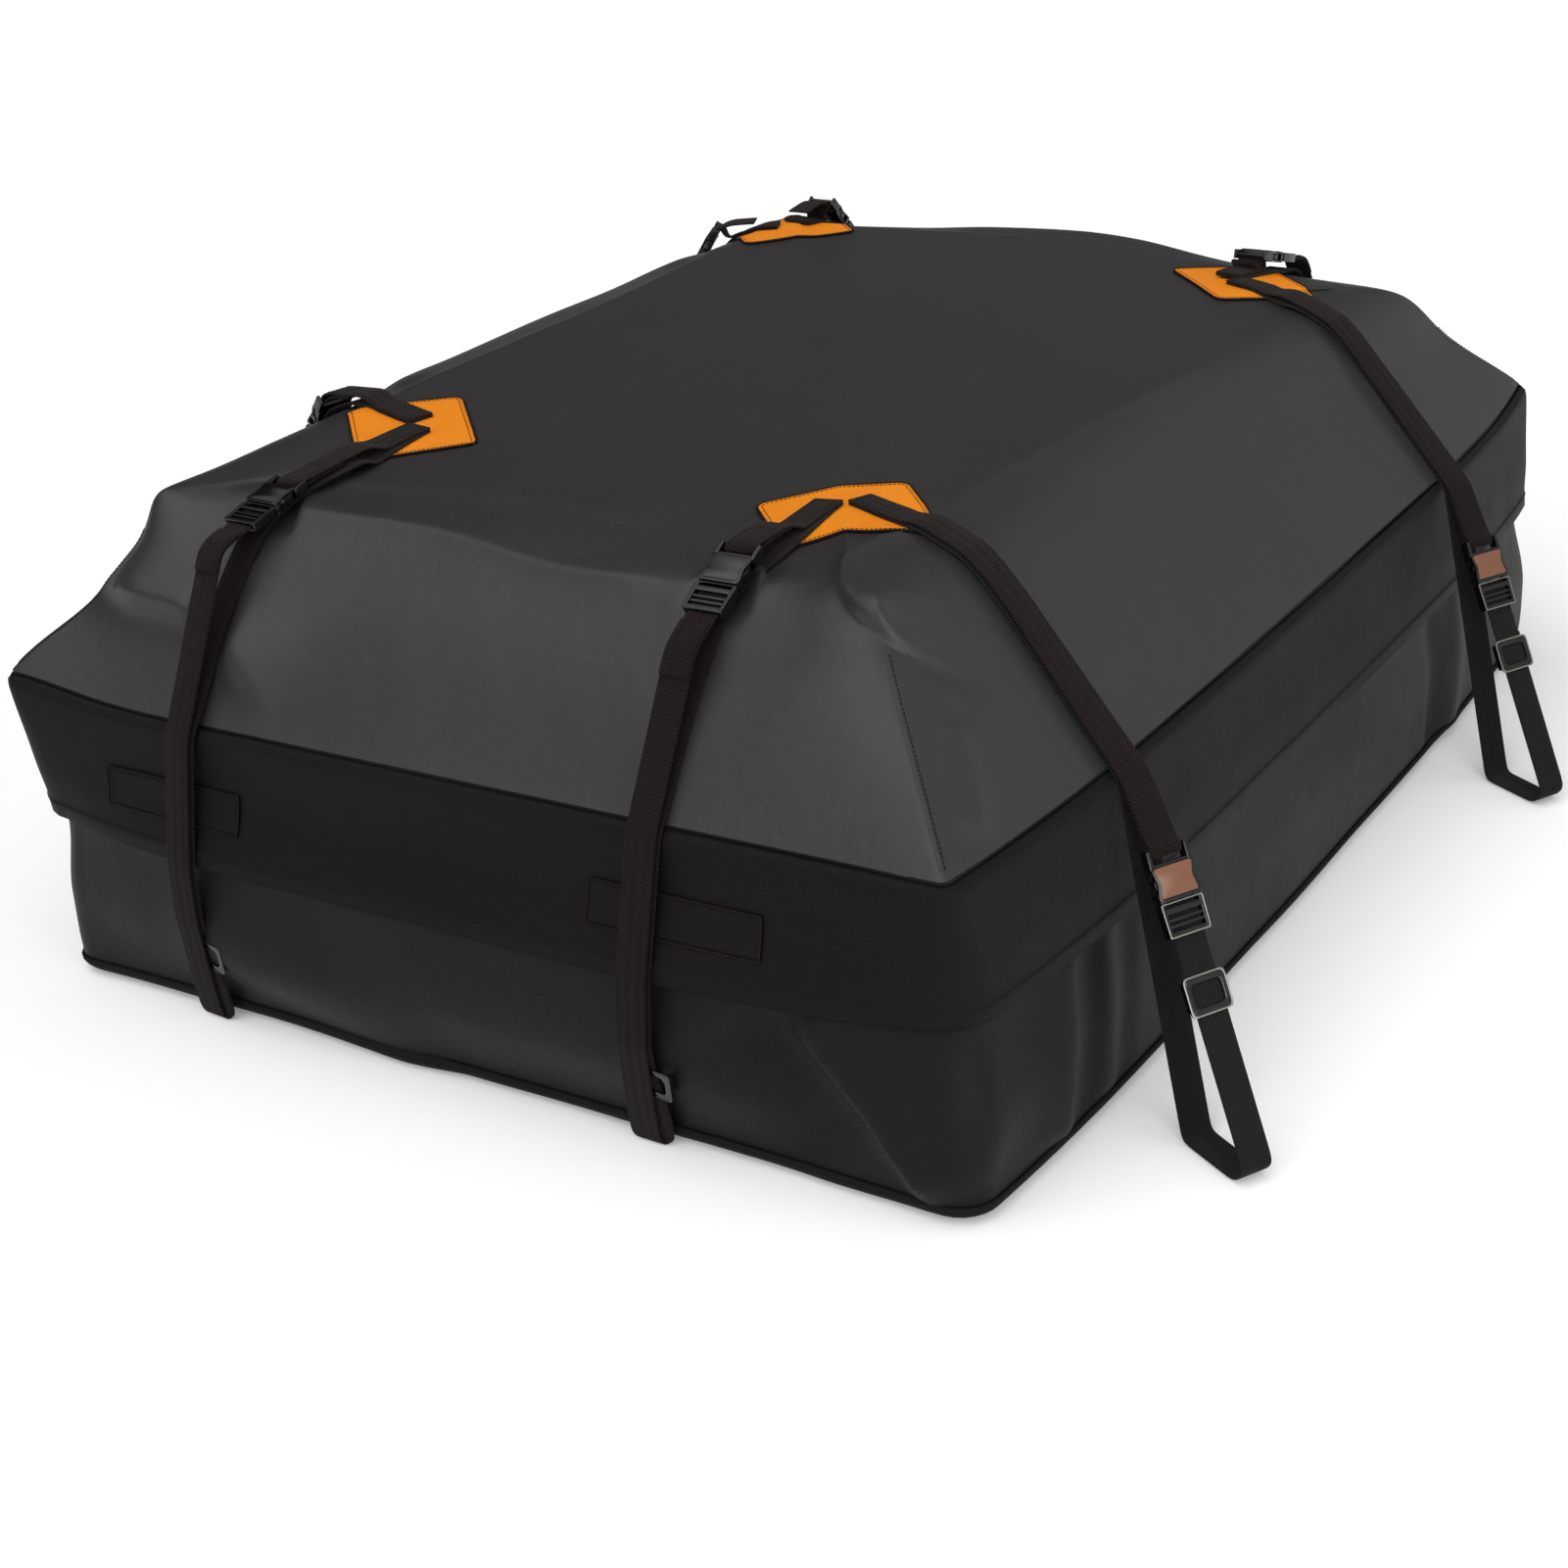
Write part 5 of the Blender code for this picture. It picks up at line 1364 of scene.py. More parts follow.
@dataclass(frozen=True)
class SideReleaseBuckle:
    """A 25 mm side-release buckle.

    Its mouth is at x = 0, with the socket towards -x and the plug's ladder towards +x. Outlines are in metres.
    """

    half_width: float = 0.0168
    half_socket: float = 0.0049
    half_plug: float = 0.0038
    web_room: float = 0.0135
    web_gap: float = 0.0016

    def socket(self) -> list[Plate]:
        """The socket: two waisted shells, their end wall and mouth posts, and the bar that the webbing turns round.

        Returns:
            Its plates.
        """
        w, h = self.half_width, self.half_socket
        waist = [(-0.0080, w - 0.0010), (-0.0130, w - 0.0022), (-0.0180, w - 0.001)]
        shell = mirrored((0, w - 0.001), (-0.0035, w), *waist, (-0.0238, w))
        post = Plate([(-0.0045, 0.0151), (0, 0.0151), (0, 0.0158), (-0.0045, w)], -0.0034, 0.0034, corner=0.0003)
        room = self.web_room
        rail = Plate([(-0.0360, room), (-0.0225, room), (-0.0225, w), (-0.0360, w - 0.0006)], -0.0041, 0.0041)
        lip = Plate(mirrored((-0.0022, 0.0128), (0.0, 0.0128)), 0.0046, h + 0.0003, corner=0.0004)
        return [
            Plate(shell, 0.0031, h, corner=0.003),
            Plate(shell, -h, -0.0031, corner=0.003),
            Plate(mirrored((-0.0256, w), (-0.0236, w)), -0.0040, 0.0040, corner=0.0005),
            Plate(mirrored((-0.0358, 0.0142), (-0.0318, 0.0142)), -0.0012, 0.0012, corner=0.0005),
            post,
            post.twin(),
            rail,
            rail.twin(),
            lip,
        ]

    def face(self) -> list[Plate]:
        """The hourglass panel on the socket's outer shell.

        Returns:
            Its plate.
        """
        waist = [(-0.0080, 0.0136), (-0.0130, 0.0126), (-0.0178, 0.0138)]
        outline = mirrored((-0.0026, 0.0146), *waist, (-0.0232, 0.0152))
        return [Plate(outline, 0.0046, self.half_socket + 0.0004, corner=0.002)]

    def plug(self) -> list[Plate]:
        """The plug: its arms with their thumb pads, the tongue between them and the ladder that grips the webbing.

        Returns:
            Its plates.
        """
        w, h, room = self.half_width, self.half_plug, self.web_room
        pad = [(-0.0225, 0.0122), (-0.0215, 0.0143), (-0.0165, 0.0148), (-0.0132, 0.0161), (-0.0100, 0.0157)]
        stem = [(-0.0078, 0.0147), (0.0020, 0.0147), (0.0020, 0.0118), (-0.0100, 0.0122), (-0.0180, 0.0117)]
        arm = Plate(pad + stem, -0.0026, 0.0026)
        rail = Plate([(0.0009, room), (0.0247, room), (0.0247, w - 0.0006), (0.0009, w)], -h, h)
        bars = [(0.0046, 0.0084, h), (0.0118, 0.0136, h - 0.0008), (0.0160, 0.0178, h - 0.0008), (0.0209, 0.0247, h)]
        return [
            Plate(mirrored((0.0010, w - 0.0004), (0.0247, w - 0.001)), -h, -self.web_gap),
            arm,
            arm.twin(),
            Plate(mirrored((-0.0190, 0.0022), (0.0020, 0.0030)), -0.0030, -self.web_gap - 0.0001, corner=0.0008),
            rail,
            rail.twin(),
            *[
                Plate(mirrored((low, room + 0.0006), (high, room + 0.0006)), self.web_gap, top, corner=0.0004)
                for low, high, top in bars
            ],
        ]

    def rim(self) -> list[Plate]:
        """The raised edge round the ladder.

        Returns:
            Its plate.
        """
        w, h = self.half_width, self.half_plug
        hole = mirrored((0.0018, w - 0.0011), (0.0236, w - 0.0015))
        return [Plate(mirrored((0.0009, w), (0.0247, w - 0.0006)), h - 0.0002, h + 0.0003, (hole,), corner=0.0012)]


@dataclass(frozen=True)
class TriGlide:
    """A 25 mm tri-glide: a rounded frame that lies over the webbing, with a middle bar under it."""

    corner: float = 0.0040
    half_length: float = 0.0139
    half_width: float = 0.0168
    half_height: float = 0.0030
    web_room: float = 0.0135
    web_gap: float = 0.0013
    lip: float = 0.0012

    def plates(self) -> list[Plate]:
        """The frame, with its side rails and its middle bar.

        Returns:
            Its plates.
        """
        n, w, h, room = self.half_length, self.half_width, self.half_height, self.web_room
        end = n - 0.003
        rail = Plate([(-end, room), (end, room), (end, w - 0.0004), (-end, w - 0.0004)], -h, self.web_gap)
        frame_hole = mirrored((0.0054 - n, room - 0.0014), (n - 0.0054, room - 0.0014))
        over = Plate(mirrored((-n, w), (n, w)), self.web_gap, h - 0.0003, (frame_hole,), self.corner)
        middle = Plate(mirrored((-0.0024, room + 0.0006), (0.0024, room + 0.0006)), -h, -self.web_gap, corner=0.0005)
        return [rail, rail.twin(), over, middle]

    def rim(self) -> list[Plate]:
        """The raised outer edge of the frame.

        Returns:
            Its plate.
        """
        n, w, h, lip = self.half_length, self.half_width, self.half_height, self.lip
        hole = mirrored((lip - n, w - lip), (n - lip, w - lip))
        return [Plate(mirrored((-n, w), (n, w)), h - 0.0005, h, (hole,), self.corner)]


@dataclass(frozen=True)
class Stitching:
    """Rows of lockstitch: each stitch is a short thread that rises out of the cloth and dips back in."""

    pitch: float = 0.0034
    length: float = 0.0028
    radius: float = 0.00042
    sides: int = 4
    sunk: float = 0.75

    def mesh(self, name: str, rows: list[tuple[Array, Array]]) -> Mesh:
        """Lays stitches along rows.

        Args:
            name: The mesh's name.
            rows: For each row, its points on the cloth and the way out at each.

        Returns:
            The mesh.
        """
        shares, swell = np.array([-0.5, -0.25, 0.25, 0.5]), np.array([0.35, 1.0, 1.0, 0.35])
        turns = np.linspace(0, math.tau, self.sides, endpoint=False)
        points, faces = [], []
        for line, ups in rows:
            lengths = distances(line)
            for k in range(int(lengths[-1] / self.pitch)):
                at = (k + 0.5) * self.pitch + shares * self.length
                middle = read_off(at, lengths, line)
                up = unit(read_off(at[1], lengths, ups))
                side = unit(np.cross(middle[-1] - middle[0], up))
                first = len(points)
                for centre, size in zip(middle, swell):
                    sunk = centre + up * self.radius * (size - self.sunk)
                    points += [sunk + (side * math.cos(t) + up * math.sin(t)) * self.radius * size for t in turns]
                n, last = self.sides, first + (len(shares) - 1) * self.sides
                for start in range(first, last, n):
                    pairs = [(start + i, start + (i + 1) % n) for i in range(n)]
                    faces += [(a, b, n + b, n + a) for a, b in pairs]
                faces += [tuple(first + i for i in reversed(range(n))), tuple(last + i for i in range(n))]
        made = bpy.data.meshes.new(name)
        made.from_pydata([tuple(p) for p in points], [], faces)
        made.polygons.foreach_set("use_smooth", [True] * len(made.polygons))
        made.update()
        return made

    def lay(self, name: str, rows: list[tuple[Array, Array]], thread: Material, slot: Slot, body: str = "bag") -> None:
        """Adds the stitches along rows as a piece.

        Args:
            name: The piece's name.
            rows: For each row, its points on the cloth and the way out at each.
            thread: Its finish.
            slot: The record's slot of the cloth that it is sewn to.
            body: The CAD body that it rides on.
        """
        add_piece(name, self.mesh(name, rows), thread, body, slot)


# The stitches of a hem or a binding, longer and thicker than those of a seam
HEM_STITCHING = Stitching(pitch=0.0042, length=0.0034, radius=0.0005)


def ring_of(grid: Array, lift: float, row: int, column: int) -> tuple[Array, Array]:
    """A closed path round a sheet, some rows and columns in from its edges.

    Args:
        grid: The sheet's points.
        lift: How far the path is above them.
        row: How many rows in it runs.
        column: How many columns in it runs.

    Returns:
        The path's points and the way out at each.
    """
    ups = grid_normals(grid, wrap=False)
    rows, columns = grid.shape[0] - 1 - row, grid.shape[1] - 1 - column
    keys = [(row, j) for j in range(column, columns)] + [(i, columns) for i in range(row, rows)]
    keys += [(rows, j) for j in range(columns, column, -1)] + [(i, column) for i in range(rows, row, -1)]
    keys.append((row, column))
    i, j = np.array(keys).T
    return grid[i, j] + ups[i, j] * lift, ups[i, j]


def row_of(grid: Array, lift: float, row: int) -> tuple[Array, Array]:
    """A closed path round the bag.

    Args:
        grid: The points of a grid that wraps round the bag.
        lift: How far the path is above them.
        row: The row that it follows.

    Returns:
        The path's points and the way out at each.
    """
    ups = grid_normals(grid, wrap=True)
    line, out = grid[row] + ups[row] * lift, ups[row]
    return np.vstack([line, line[:1]]), np.vstack([out, out[:1]])


@dataclass
class StrapPair:
    """One strap pair: the long lower layer that turns back at its foot, the short upper one and their fittings."""

    form: CornerForm
    run: Run
    wardrobe: Wardrobe
    start_height: float = 0.41
    gather: float = 0.009
    tail_start: float = 0.072
    tail_end: float = 0.030
    narrower: float = 0.0008
    stitch_step: float = 0.003
    stitch_inset: float = 0.003
    sewn: tuple[float, float] = (0.004, 0.026)
    long_route: StrapRoute = field(init=False)
    short_route: StrapRoute = field(init=False)

    def __post_init__(self) -> None:
        """Reads the routes."""
        start = Vector((*self.form.patch_at, self.start_height))
        self.long_route = StrapRoute.of_node(f"{self.name}_long_strap", start)
        if not self.hangs_low:
            self.long_route = self.long_route.gathered(self.gather)
        self.short_route = StrapRoute.of_node(f"{self.name}_short_strap", start)

    @property
    def name(self) -> str:
        """The start of the names of this pair's nodes."""
        return f"{self.form.corner.value}_{self.run.value}"

    def settle(self, trees: list[BVHTree]) -> None:
        """Lays both sewn ends on the patch, the short layer over the long one.

        Args:
            trees: The bag's top and the patch.
        """
        self.long_route = self.long_route.laid(trees, under=0.0, hold=0.065, fade=0.020)
        under = self.long_route.thickness + 0.0002
        self.short_route = self.short_route.laid(trees, under, hold=0.045, fade=0.025)

    def dress(self) -> None:
        """Builds the webbing and finishes the fittings."""
        for kind, route in (("long", self.long_route), ("short", self.short_route)):
            node = f"{self.name}_{kind}_strap"
            mesh = Webbing(f"{node}_webbing", route).mesh()
            woven = self.wardrobe.plain_webbing if self.hangs_low and kind == "long" else self.wardrobe.webbing
            add_piece(f"{node}_webbing", mesh, woven, "bag", Slot.WEBBING, node)
        tail = None if self.hangs_low else self.tail()
        if tail:
            mesh = Webbing(f"{self.name}_webbing_tail", tail).mesh()
            add_piece(f"{self.name}_webbing_tail", mesh, self.wardrobe.webbing, f"{self.name}_plug", Slot.WEBBING)
        self.dress_fittings()
        self.sew(tail)

    @property
    def hangs_low(self) -> bool:
        """Whether the pair's buckle hangs low beside the wall, with its tri-glide right below it."""
        return self.run is Run.SIDE and self.form.corner.sign_x > 0

    def tail(self) -> StrapRoute:
        """The webbing's free end, folded back and sewn on the outer layer below the ladder.

        Returns:
            Its route.
        """
        fine = self.long_route.finer(ROUTE_STEP)
        lengths = fine.lengths
        part = (lengths > lengths[-1] - self.tail_start) & (lengths < lengths[-1] - self.tail_end)
        centres = fine.centres[part] - fine.normals[part] * (fine.thickness + LAYER_GAP)
        return StrapRoute(centres, fine.across[part], fine.normals[part], fine.width - self.narrower, fine.thickness)

    def dress_fittings(self) -> None:
        """Builds the buckle and the tri-glide in the places of their CAD solids."""
        buckle, acetal = SideReleaseBuckle(), self.wardrobe.acetal
        slide, glide_slide = f"{self.name}_plug_slide", f"{self.name}_adjuster_slide"
        socket, plug, glide = (f"{self.name}_{kind}" for kind in ("buckle_socket", "buckle_plug", "triglide"))
        socket_place = fitting_place(socket, slide, start=-0.036)
        plug_place = fitting_place(plug, slide, start=-0.023)
        glide_place = fitting_place(glide, glide_slide, start=-0.014)
        # Painted reflection: the low sockets' faces are copper-brown in place of a warm reflection on black plastic
        face = self.wardrobe.copper_reflection_acetal if self.hangs_low else acetal
        # Painted highlight: the low fittings' rims are a pale metal that stands in for their edge highlights
        rim = self.wardrobe.pale_rim_highlight if self.hangs_low else acetal
        for name, plates, place, material, body, node in (
            (f"{socket}_shell", buckle.socket(), socket_place, acetal, "bag", socket),
            (f"{socket}_face", buckle.face(), socket_place, face, "bag", socket),
            (f"{plug}_moulding", buckle.plug(), plug_place, acetal, f"{self.name}_plug", plug),
            (f"{plug}_rim", buckle.rim(), plug_place, rim, f"{self.name}_plug", plug),
            (f"{glide}_moulding", TriGlide().plates(), glide_place, acetal, f"{self.name}_adjuster", glide),
            (f"{glide}_rim", TriGlide().rim(), glide_place, rim, f"{self.name}_adjuster", glide),
        ):
            mesh = moulding(name, plates)
            mesh.transform(place)
            add_piece(name, mesh, material, body, Slot.MOULDED_BLACK, node)

    def sew(self, tail: StrapRoute | None) -> None:
        """Stitches the strap ends: a box on the patch and rows over each doubled end at the buckle.

        Args:
            tail: The folded free end, if the pair has one; it and its stitches move with the plug.
        """
        rows = self.box_rows(self.short_route, *self.sewn) + self.box_rows(self.long_route, *self.sewn)
        fine = self.short_route.finer(self.stitch_step)
        outward = np.nonzero(fine.facing_out())[0]
        end = fine.lengths[outward[-1]] - 0.010
        rows += self.box_rows(self.short_route, end - self.sewn[1], end)
        Stitching().lay(f"{self.name}_strap_stitches", rows, self.wardrobe.dark_thread, Slot.WEBBING)
        if not tail:
            return
        length, rows = tail.lengths[-1], []
        over = StrapRoute(tail.centres, -tail.across, -tail.normals, tail.width, tail.thickness)
        for share in (0.15, 0.55):
            rows += self.box_rows(over, length * share, length * (share + 0.3))
        thread, body = self.wardrobe.dark_thread, f"{self.name}_plug"
        Stitching().lay(f"{self.name}_tail_stitches", rows, thread, Slot.WEBBING, body)

    def box_rows(self, route: StrapRoute, start: float, end: float) -> list[tuple[Array, Array]]:
        """A box of stitches on a strap's outer side between two lengths along it.

        Args:
            route: The strap's route.
            start: The length that the box starts at.
            end: The length that it ends at.

        Returns:
            Its four rows: the points of each and the way out at each point.
        """
        fine = route.finer(self.stitch_step)
        lengths, inset = fine.lengths, route.width / 2 - self.stitch_inset

        def at(length: Array, aside: Array) -> tuple[Array, Array]:
            """Points on the strap's outer side and the way out at each."""
            centre, wide, out = (read_off(length, lengths, rows) for rows in (fine.centres, fine.across, fine.normals))
            return centre + wide * aside[:, None] + out * (route.thickness / 2), out

        along, wide = np.linspace(start, end, 12), np.linspace(-inset, inset, 8)
        return [
            at(along, np.full(12, inset)),
            at(along, np.full(12, -inset)),
            at(np.full(8, start), wide),
            at(np.full(8, end), wide),
        ]


# Soft goods


@dataclass
class BagCloth:
    """The bag's own cloth in two panels that meet at the seam: the walls with the base, and the top."""

    form: BagForm
    hang: ClothHang
    wardrobe: Wardrobe
    columns: Columns
    press: float = 0.0012
    deepest: float = 0.030
    sewn_end: float = 0.020
    sewn_fade: float = 0.045
    reach: float = 0.035
    beside_fade: float = 0.016
    beyond_start: float = 0.004
    beyond_fade: float = 0.010
    normal_passes: int = 8
    wall_rows: int = 46
    slope_rows: int = 92
    top_rows: int = 56
    top: Piece = field(init=False)
    walls: Piece = field(init=False)
    top_grid: Array = field(init=False)

    def keep_under(self, points: Array, normals: Array, routes: list[StrapRoute]) -> Array:
        """Presses the cloth in where a strap lies on it.

        Args:
            points: The cloth's points.
            normals: The way out at each.
            routes: The strap layers that touch the cloth.

        Returns:
            The pressed points.
        """
        moved = points.copy()
        for route in routes:
            fine = route.finer(1.5 * ROUTE_STEP)
            outer = fine.facing_out()
            centres, across, ups = fine.centres[outer], fine.across[outer], fine.normals[outer]
            sewn = smoothstep((fine.lengths[outer] - self.sewn_end) / self.sewn_fade)
            near = np.all((points > centres.min(0) - self.reach) & (points < centres.max(0) + self.reach), axis=-1)
            if not near.any():
                continue
            p = moved[near]
            k = np.linalg.norm(p[:, None] - centres[None], axis=-1).argmin(1)
            gap = p - centres[k]
            aside, height = np.einsum("ij,ij->i", gap, across[k]), np.einsum("ij,ij->i", gap, ups[k])
            beyond = np.linalg.norm(gap - across[k] * aside[:, None], axis=1) - abs(height)
            over = height + route.thickness / 2 + self.press
            share = 1 - smoothstep((abs(aside) - route.width / 2) / self.beside_fade)
            share = share * (1 - smoothstep((beyond - self.beyond_start) / self.beyond_fade))
            moved[near] = p - ups[k] * (np.clip(over, 0, self.deepest) * share * sewn[k])[:, None]
        return moved

    def build(self, routes: list[StrapRoute]) -> None:
        """Builds both panels.

        Args:
            routes: The strap layers that lie on the cloth.
        """
        form, columns = self.form, self.columns
        low, high, edge = form.groove_bottom, form.groove_top, 0.002
        below, groove = np.linspace(0.0, low, self.wall_rows), np.array([low + edge, low + 0.02, high - edge, high])
        heights = np.concatenate([below, groove, [0.2485, 0.2515, 0.2545, form.seam_height]])
        zip_runs = (columns.side != 2) | (columns.on_arc)
        sunk = (heights > low + edge / 2) & (heights < high - edge / 2)
        outs = -form.groove_depth * sunk[:, None] * zip_runs[None]
        wall = form.wall(columns, heights, outs)
        flat_wall = flat_places(distances(wall[0])[None], heights[:, None])
        wall = self.hung(wall, routes, pressed=False)
        base = np.stack([wall[0] * np.array([s, s, 0]) for s in (0.3, 0.6, 0.9, 0.97)])
        wall = np.concatenate([base, wall])
        flat_wall = np.concatenate([base[..., :2], flat_wall])
        mesh = grid_mesh("bag_walls", wall, flat_wall, wrap=True)
        # The walls take the darker copy of the coated cloth: painted shade
        self.walls = add_piece("bag_walls", mesh, self.wardrobe.lower, "bag", Slot.COATED_CLOTH, "bag_body")
        ways = np.concatenate([np.linspace(0, 1, self.slope_rows), np.linspace(1, 1.97, self.top_rows)[1:]])
        top = self.hung(form.top(columns, ways), routes, pressed=True)
        self.top_grid = top
        centre = top[-1].mean(0)
        mesh = grid_mesh("bag_top", top, top[..., :2].copy(), wrap=True, cap=centre)
        self.top = add_piece("bag_top", mesh, self.wardrobe.coated, "bag", Slot.COATED_CLOTH, "bag_body")

    def hung(self, grid: Array, routes: list[StrapRoute], pressed: bool) -> Array:
        """Moves a smooth grid to where the cloth lies.

        Args:
            grid: The points of the smooth form.
            routes: The strap layers that lie on the cloth.
            pressed: Whether the cloth gives way to them.

        Returns:
            The points of the cloth.
        """
        normals = grid_normals(grid, wrap=True)
        for _ in range(self.normal_passes):
            normals = eased_round(normals, 1, axis=1)
            ease_between_ends(normals)
        normals = unit(normals).reshape(-1, 3)
        points = self.hang.move(grid.reshape(-1, 3), normals)
        points[:, 2] = np.maximum(points[:, 2], 0.0)
        if pressed:
            points = self.keep_under(points, normals, routes)
        return points.reshape(grid.shape)


@dataclass
class CornerSeams:
    """The seams that run up the top's four corners: a narrow felled welt with a row of stitches beside it."""

    bag: BagCloth
    wardrobe: Wardrobe
    half_width: float = 0.0013
    height: float = 0.0005
    reach: float = 0.50

    def build(self) -> None:
        """Lays the welts on the dressed cloth."""
        grid, columns = self.bag.top_grid, self.bag.columns
        ups = grid_normals(grid, wrap=True)
        rows = int(self.reach * (self.bag.slope_rows - 1))
        stitches = []
        for number, form in enumerate(self.bag.form.corners):
            column = int(np.nonzero((columns.side == number) & columns.on_arc)[0][2])
            line, out = grid[2:rows, column], ups[2:rows, column]
            side = unit(np.cross(np.gradient(line, axis=0), out))
            profile = [(-1.0, -0.5), (-0.8, 0.7), (0.0, 1.0), (0.8, 0.7), (1.0, -0.5)]
            strip = np.stack([line + side * self.half_width * x + out * self.height * z for x, z in profile], axis=1)
            flat = flat_places(distances(line)[:, None], np.array([x for x, _ in profile])[None] * self.half_width)
            name = f"{form.corner.value}_corner_welt"
            mesh = grid_mesh(name, strip[:, ::-1], flat, wrap=False)
            add_piece(name, mesh, self.wardrobe.coated, "bag", Slot.COATED_CLOTH)
            stitches.append((line + side * self.half_width * 2 + out * 0.0002, out))
        Stitching().lay("corner_seam_stitches", stitches, self.wardrobe.dark_thread, Slot.COATED_CLOTH)


@dataclass
class StormFlap:
    """The flap over the zip: thinner cloth sewn just below the seam, with a turned hem that stands off the wall."""

    form: BagForm
    hang: ClothHang
    wardrobe: Wardrobe
    columns: Columns
    thickness: float = 0.0016
    hem: float = 0.149
    hem_band: float = 0.011
    hem_step: float = 0.0007
    sewn_rows: tuple[float, ...] = (0.2475, 0.2495, 0.2515, 0.2535)
    ripple_size: float = 0.09
    ripple_height: float = 0.0016
    ripple_start: tuple[float, float, float] = (7, 3, 1)
    heights: tuple[float, ...] = (0.149, 0.1775, 0.206, 0.245, 0.2495, 0.2535)
    standoffs: tuple[float, ...] = (0.0085, 0.0085, 0.0070, 0.0055, 0.0042, 0.0004)
    piece: Piece = field(init=False)

    def build(self) -> None:
        """Builds the flap."""
        band = self.hem + self.hem_band
        heights = np.concatenate([[self.hem, band, band + 0.0015], np.linspace(0.164, 0.245, 26), self.sewn_rows])
        outs = smooth_table(np.array(self.heights), np.array(self.standoffs)[:, None], heights)[:, 0]
        outs = outs + self.hem_step * (heights < band + 0.0005)
        grid = self.form.wall(self.columns, heights, outs)
        normals = grid_normals(grid, wrap=True)
        start = Vector(self.ripple_start)
        ripple = [noise.noise(Vector(p) / self.ripple_size + start) for p in grid.reshape(-1, 3)]
        loose = smoothstep((0.235 - heights) / 0.07)[:, None]
        grid = grid + normals * (np.array(ripple).reshape(grid.shape[:2]) * self.ripple_height * loose)[..., None]
        grid = grid + sum(pull.shift(grid) for pull in self.hang.pulls)
        around = distances(grid[0])
        flat = flat_places(around[None], heights[:, None])
        mesh = grid_mesh("flap_cloth_panel", grid, flat, wrap=True)
        self.piece = add_piece("flap_cloth_panel", mesh, self.wardrobe.flap, "bag", Slot.FLAP_CLOTH, "storm_flap")
        thicken(self.piece, self.thickness, 1)
        top_row = len(heights) - 3
        seams = [row_of(grid, self.thickness, 1), row_of(grid, self.thickness, top_row)]
        HEM_STITCHING.lay("flap_stitches", seams, self.wardrobe.dark_thread, Slot.FLAP_CLOTH)


@dataclass
class BaseBinding:
    """Folded tape round the base's edge."""

    form: BagForm
    hang: ClothHang
    wardrobe: Wardrobe
    columns: Columns
    low: float = 0.0024
    high: float = 0.0155
    thickness: float = 0.0022
    wall_gap: float = 0.0004
    tape: float = 0.0008

    def build(self) -> None:
        """Builds the tape with its rounded edges."""
        heights = np.linspace(self.low, self.high, 9)
        round_off = 1 - (2 * (heights - self.low) / (self.high - self.low) - 1) ** 4
        grid = self.form.wall(self.columns, heights, self.wall_gap + self.thickness * (0.35 + 0.65 * round_off))
        grid = self.hang.move(grid.reshape(-1, 3), grid_normals(grid, wrap=True).reshape(-1, 3)).reshape(grid.shape)
        grid[..., 2] = np.maximum(grid[..., 2], self.tape)
        flat = flat_places(distances(grid[0])[None], heights[:, None])
        mesh = grid_mesh("base_binding_tape", grid, flat, wrap=True)
        piece = add_piece("base_binding_tape", mesh, self.wardrobe.binding, "bag", Slot.BINDING_TAPE, "base_binding")
        thicken(piece, self.tape, -1)
        seam = [row_of(grid, 0.0, 7)]
        HEM_STITCHING.lay("binding_stitches", seam, self.wardrobe.dark_thread, Slot.BINDING_TAPE)


